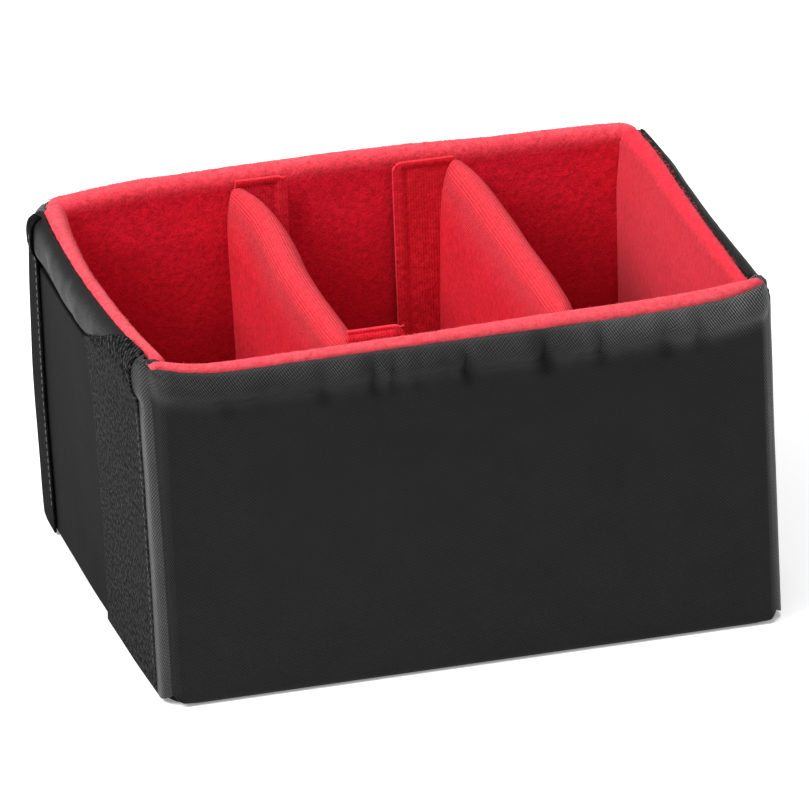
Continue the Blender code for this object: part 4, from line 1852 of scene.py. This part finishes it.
@dataclass
class Divider:
    """A padded divider across the box, with a flap at each end."""

    name: str
    x: float
    side: Side
    flaps: tuple[Flap, ...]
    ridge: Triples
    half_thick: float = 0.0074
    swell: float = 0.0020
    length: float = 0.1488
    top: float = 0.1370
    step: float = 0.0036
    shoulder: float = 0.022
    tip: float = 0.022
    tip_share: float = 0.30
    corner: float = 0.0050
    foot_spread: float = 0.0
    patch_inset: float = 0.0024
    flap_corner: float = 0.0040
    border: Pair = (0.0042, 0.0026)
    cap: float = 0.0007
    hinge_out: float = 0.0056
    flap_plane: float = 0.0712
    patch_plane: float = 0.0744
    flap_step: float = 0.0009
    patch_step: float = 0.0025
    patch_foot: float = 0.004
    patch_short: float = 0.014
    bend_from: float = -0.0005
    bend_to: float = 0.0035
    thread_end: float = 0.0034
    thread_low: float = 0.006
    thread_start: float = 0.0045

    @property
    def hinge(self) -> float:
        """Place along x at which the flaps turn."""
        return self.x + self.side.value * self.hinge_out

    def along_ridge(self, y: Points) -> tuple[Points, Points]:
        """How far the ridge leans sideways and how high it stands.

        Args:
            y: places along the divider.

        Returns:
            The shift along x and the height, at each place.
        """
        at, lean_by, height = np.array(self.ridge).T
        return (np.polyval(np.polyfit(at, lean_by, 4), y),
                np.polyval(np.polyfit(at, height, 4), y))

    def pad_shape(self, p: Points) -> Points:
        """Round the plain block to a pillow with a soft ridge and leaf tips.

        Args:
            p: points of the block round x = 0.

        Returns:
            The points of the pad, in the standing box.
        """
        across, y, z = p[:, 0] / self.half_thick, p[:, 1].copy(), p[:, 2].copy()
        half, foot = self.length / 2, BASE_TOP + GAP
        high = (z - (self.top - self.shoulder)) / self.shoulder
        square = np.maximum(np.abs(across), np.clip(high, 0.0, None))
        oval = (np.abs(across) ** 2.3 + np.clip(high, 0.0, None) ** 2.3) ** (1 / 2.3)
        pull = np.where(high > 0, square / np.maximum(oval, 1e-9), 1.0)
        across = across * pull
        z = np.where(high > 0, self.top + self.shoulder * (high * pull - 1.0), z)
        out, z = round_off(np.abs(y), z, (half, self.top), self.corner)
        y = np.sign(y) * out
        near = np.clip((np.abs(y) - half + self.tip) / self.tip, 0.0, 1.0)
        body = self.tip_share + (1.0 - self.tip_share) * np.sqrt(1.0 - near ** 2.2)
        share = np.clip((z - foot) / (self.top - foot), 0.0, 1.0)
        belly = np.sin(np.clip(share, 0.0, 1.0) * math.pi * 0.9 + 0.1)
        thick = (self.half_thick + self.swell * belly * (1.0 - (y / half) ** 2)) * body
        thick = thick + self.foot_spread * (1.0 - share) ** 0.7 * (1.0 - near ** 4)
        shift, height = self.along_ridge(y)
        soft = 0.0004 * ripple(p * (0.2, 1.0, 1.0), 0.030, self.x * 100.0)
        x = self.x + across * (thick + soft) + shift * share ** 1.5
        z = foot + (z - foot) * (height - foot) / (self.top - foot)
        return settle(lean(rows(x, y, z)))

    def cloth_place(self, p: Points) -> Points:
        """Where each point of the plain block lies on the flat fleece."""
        down = np.abs(p[:, 0]) + self.top - p[:, 2]
        return rows(p[:, 1], np.where(p[:, 0] < 0, -down, down))

    def puff(self, pad: Piece) -> None:
        """Blow the pad up a little with a cloth simulation, within a cap.

        Args:
            pad: the divider's pad.
        """
        rest = coordinates(pad)
        take(pad)
        modifier = pad.modifiers.new("puff", "CLOTH")
        settings = modifier.settings
        settings.use_pressure = True
        settings.uniform_pressure_force = 4.0
        settings.tension_stiffness = 25.0
        settings.compression_stiffness = 25.0
        settings.bending_stiffness = 2.0
        settings.effector_weights.gravity = 0.0
        scene = bpy.context.scene
        for step in range(1, 21):
            scene.frame_set(step)
        graph = bpy.context.evaluated_depsgraph_get()
        blown = coordinates(pad.evaluated_get(graph))
        pad.modifiers.remove(modifier)
        scene.frame_set(1)
        move = blown - rest
        far = np.linalg.norm(move, axis=1)
        scale = np.where(far > self.cap, self.cap / np.maximum(far, 1e-9), 1.0)
        move = move * scale[:, None]
        move[:, 1] *= 0.25
        mould(pad, lambda _: rest + move)

    def build_pad(self, finishes: Finishes) -> None:
        """The divider's padded body.

        Args:
            finishes: the materials.
        """
        half = self.length / 2
        pad = grid_block(self.name + "_pad", (-self.half_thick, -half, BASE_TOP + GAP),
                         (self.half_thick, half, self.top), self.step)
        lay_out(pad, self.cloth_place(coordinates(pad)))
        mould(pad, self.pad_shape)
        self.puff(pad)
        finish_modifier(pad, "SUBSURF", levels=1, render_levels=1)
        face_out(pad)
        smooth(pad, 80.0)
        dress(pad, finishes.divider, "fleece", self.name, self.name + "_cover",
              self.name + "_foam")

    def flap_shape(self, p: Points, flap: Flap) -> Points:
        """Set a flat flap against its wall, with a raised border and a groove.

        Args:
            p: points of the flat cut.
            flap: its sizes.

        Returns:
            The points in the standing box.
        """
        across, up = p[:, 0] - flap.tuck, p[:, 1] + flap.bottom
        across, up = round_off(across, up, (flap.width, flap.top), self.flap_corner)
        across, down = round_off(across, -up, (flap.width, -flap.bottom), self.flap_corner)
        up = -down
        wide, low = self.border
        edge = np.minimum((flap.width - across) / wide, (flap.top - up) / low)
        edge = np.minimum(edge, (up - flap.bottom) / low)
        raised = smooth_step(1.25, 0.85, edge) * 0.0007
        groove = 0.0006 * hump(1.15, 0.16, edge)
        flat = rows(across, up, 0.0)
        soft = 0.0003 * ripple(flat, 0.018, self.x * 90.0 + flap.end.value)
        plane = self.flap_plane - raised + groove - soft
        x = self.hinge + self.side.value * across
        return settle(lean(rows(x, flap.end.value * plane, up)))

    def build_flap(self, flap: Flap, finishes: Finishes) -> None:
        """A flap against its end wall, with the hook patch behind it.

        Args:
            flap: its sizes.
            finishes: the materials.
        """
        end, side = flap.end.value, self.side.value
        word = flap.end.name.lower()
        body = f"{self.name}_{word}_flap"
        hinge = self.hinge
        width, height = flap.width + flap.tuck, flap.top - flap.bottom
        sheet = cloth(f"{self.name}_{word}_fleece_flap", width, height, self.flap_step)
        mould(sheet, lambda p: self.flap_shape(p, flap))
        thicken(sheet, flap.thickness, 0.0006, way=-side * end)
        face_out(sheet)
        smooth(sheet)
        dress(sheet, finishes.knit, "fleece", "", f"{self.name}_{word}_flap")
        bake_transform(sheet)
        flat = (flap.width - self.patch_inset, height - self.patch_short)
        patch = cloth(f"{self.name}_{word}_hook_tape", *flat, self.patch_step)

        def patch_shape(p: Points) -> Points:
            """Set the flat patch behind its flap.

            Args:
                p: points of the flat cut.

            Returns:
                Points in the standing box.
            """
            across = p[:, 0] + self.patch_inset / 2
            up = p[:, 1] + flap.bottom + self.patch_foot
            return settle(lean(rows(hinge + side * across, end * self.patch_plane, up)))

        mould(patch, patch_shape)
        thicken(patch, flap.patch, way=side * end)
        face_out(patch)
        smooth(patch)
        dress(patch, finishes.hook, "hook_tape", body, f"{self.name}_{word}_hook_patch")

    def sew_flap(self, flap: Flap, finishes: Finishes) -> None:
        """Stitch the flap's border along its groove, up its free side and over its top.

        Args:
            flap: its sizes.
            finishes: the materials.
        """
        end = flap.end.value
        word = flap.end.name.lower()
        side, top = flap.width - 1.15 * self.border[0], flap.top - 1.15 * self.border[1]
        low = flap.bottom + self.thread_low
        start, short = self.thread_start, self.thread_end

        def run(across: Points, up: Points) -> Points:
            """Places in the groove, by distance from the hinge and height."""
            flat = rows(across + flap.tuck, up - flap.bottom, 0.0)
            return self.flap_shape(flat, flap) - (0.0, end * 0.0001, 0.0)

        name = f"{self.name}_{word}_flap"
        thread = Stitching(0.0019, 0.0026, 0.0002)
        seams = [
            thread.sew(name + "_side_stitches", lambda d: run(d * 0 + side, low + d),
                       top - low - short, (0.0, -end, 0.0)),
            thread.sew(name + "_top_stitches", lambda d: run(start + d, d * 0 + top),
                       side - start - short, (0.0, -end, 0.0)),
        ]
        for row in seams:
            dress(row, finishes.red_thread, "fleece", name)

    def build(self, finishes: Finishes) -> None:
        """Build the pad, the flaps, their patches and their stitches.

        Args:
            finishes: the materials.
        """
        self.build_pad(finishes)
        for flap in self.flaps:
            self.build_flap(flap, finishes)
            self.sew_flap(flap, finishes)
        log.info("%s: pad, flaps and hook patches", self.name)


# Each ridge as it has settled: place along the divider, lean along x, height
LEFT_RIDGE = (
    (-0.074, -0.0028, 0.1368), (-0.062, -0.0026, 0.1371), (-0.042, -0.0022, 0.1378),
    (-0.020, -0.0016, 0.1384), (0.000, -0.0012, 0.1388), (0.021, -0.0006, 0.1391),
    (0.049, 0.0008, 0.1395), (0.064, 0.0000, 0.1394), (0.074, -0.0026, 0.1392),
)
RIGHT_RIDGE = (
    (-0.074, 0.0000, 0.1376), (-0.051, 0.0014, 0.1390), (-0.024, 0.0020, 0.1400),
    (0.012, 0.0026, 0.1408), (0.042, 0.0034, 0.1412), (0.064, 0.0028, 0.1408),
    (0.074, 0.0022, 0.1400),
)


def make_dividers() -> tuple[Divider, ...]:
    """The two dividers.

    Returns:
        The dividers with their sizes, not yet built.
    """
    left_flaps = (Flap(End.FRONT, 0.0150, 0.1395, tuck=0.0075),
                  Flap(End.BACK, 0.0125, 0.1410, tuck=0.0080))
    right_flaps = (Flap(End.FRONT, 0.0185, 0.133),
                   Flap(End.BACK, 0.0173, 0.1400, tuck=0.0075))
    return (Divider("left_divider", -0.0412, Side.RIGHT, left_flaps, LEFT_RIDGE),
            Divider("right_divider", 0.0425, Side.LEFT, right_flaps, RIGHT_RIDGE,
                    half_thick=0.0070, swell=0.0018, foot_spread=0.0024))


@dataclass
class Studio:
    """Pale floor, soft lamps and the camera at the photograph's angle."""

    azimuth: float = -15.59
    elevation: float = 24.92
    roll: float = -1.38
    distance: float = 3.0
    focal: float = 7711.9
    shift: Pair = (0.7, -1.3)
    target: tuple[float, float, float] = (0.0, 0.0, 0.070)
    sensor: float = 36.0
    floor_size: float = 6.0
    floor_level: float = -0.0004
    floor_glow: float = 0.22
    sky: float = 0.58

    def build_camera(self) -> None:
        """Set the camera."""
        a, e, r = (math.radians(x) for x in (self.azimuth, self.elevation, self.roll))
        back = Vector((math.sin(a) * math.cos(e), -math.cos(a) * math.cos(e), math.sin(e)))
        right = (-back).cross(Vector((0.0, 0.0, 1.0))).normalized()
        up = right.cross(-back)
        turned_right = right * math.cos(r) + up * math.sin(r)
        turned_up = up * math.cos(r) - right * math.sin(r)
        data = bpy.data.cameras.new("photo_camera")
        data.sensor_width = self.sensor
        data.lens = self.focal * self.sensor / IMAGE
        data.shift_x = -self.shift[0] / IMAGE
        data.shift_y = self.shift[1] / IMAGE
        data.clip_start, data.clip_end = 0.05, 30.0
        camera = bpy.data.objects.new("photo_camera", data)
        turn = Matrix((turned_right, turned_up, back)).transposed().to_4x4()
        camera.matrix_world = Matrix.Translation(Vector(self.target) + back * self.distance) @ turn
        bpy.context.scene.collection.objects.link(camera)
        bpy.context.scene.camera = camera

    def build_floor(self) -> None:
        """Lay the floor: white to the camera, and it keeps the shadow."""
        deselect()
        bpy.ops.mesh.primitive_plane_add(size=self.floor_size,
                                         location=(0.0, 0.0, self.floor_level))
        floor = bpy.context.object
        floor.name = "studio_floor"
        r = Recipe("studio_floor")
        tooth = r.noise(r.place("Object"), 300.0)
        r.wire(Base_Color=r.mix(tooth, grey(0.88), grey(0.92)), Roughness=0.9,
               Normal=r.bump(tooth, 0.0001, 0.1), Specular_IOR_Level=0.1,
               Emission_Color=WHITE, Emission_Strength=self.floor_glow)
        floor.data.materials.append(r.material)

    def lamp(self, name: str, place: Place, size: float, watts: float) -> None:
        """A soft square lamp that looks at the insert.

        Args:
            name: its name.
            place: where it hangs.
            size: its side.
            watts: its power.
        """
        data = bpy.data.lights.new(name, "AREA")
        data.shape = "SQUARE"
        data.size = size
        data.energy = watts
        lamp = bpy.data.objects.new(name, data)
        lamp.location = place
        lamp.rotation_mode = "QUATERNION"
        lamp.rotation_quaternion = (Vector(self.target) - Vector(place)).to_track_quat("-Z", "Y")
        bpy.context.scene.collection.objects.link(lamp)

    def build_sky(self) -> None:
        """White to the camera and through clear pieces, plainer as light."""
        world = bpy.data.worlds.new("studio")
        tree = Tree(world, "Background")
        path = tree.node("LightPath").outputs
        seen = tree.math("MAXIMUM", path["Is Camera Ray"], path["Is Transmission Ray"])
        tree.wire(Color=WHITE, Strength=tree.spread(seen, 0.0, 1.0, self.sky, 1.0))
        bpy.context.scene.world = world

    def build(self) -> None:
        """Set up the studio."""
        scene = bpy.context.scene
        scene.view_settings.view_transform = "Standard"
        self.build_camera()
        self.build_floor()
        self.build_sky()
        self.lamp("key", (-1.35, -0.30, 1.45), 0.9, 43.0)
        self.lamp("top", (0.2, -0.20, 1.7), 0.5, 12.0)
        log.info("studio: camera, floor and lamps")


def main() -> None:
    """Build the whole insert, piece by piece."""
    logging.basicConfig(level=logging.INFO, format="%(name)s: %(message)s")
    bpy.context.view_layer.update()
    studio = Studio()
    studio.build()
    finishes = Finishes()
    walls = make_walls()
    Base().build(finishes)
    for wall in walls.values():
        wall.build(finishes)
    for name in ("left", "right"):
        LoopPanel(walls[name]).build(finishes)
    for wrap in make_wraps(walls):
        wrap.build(finishes)
    for divider in make_dividers():
        divider.build(finishes)
    deselect()


if __name__ == "__main__":
    main()
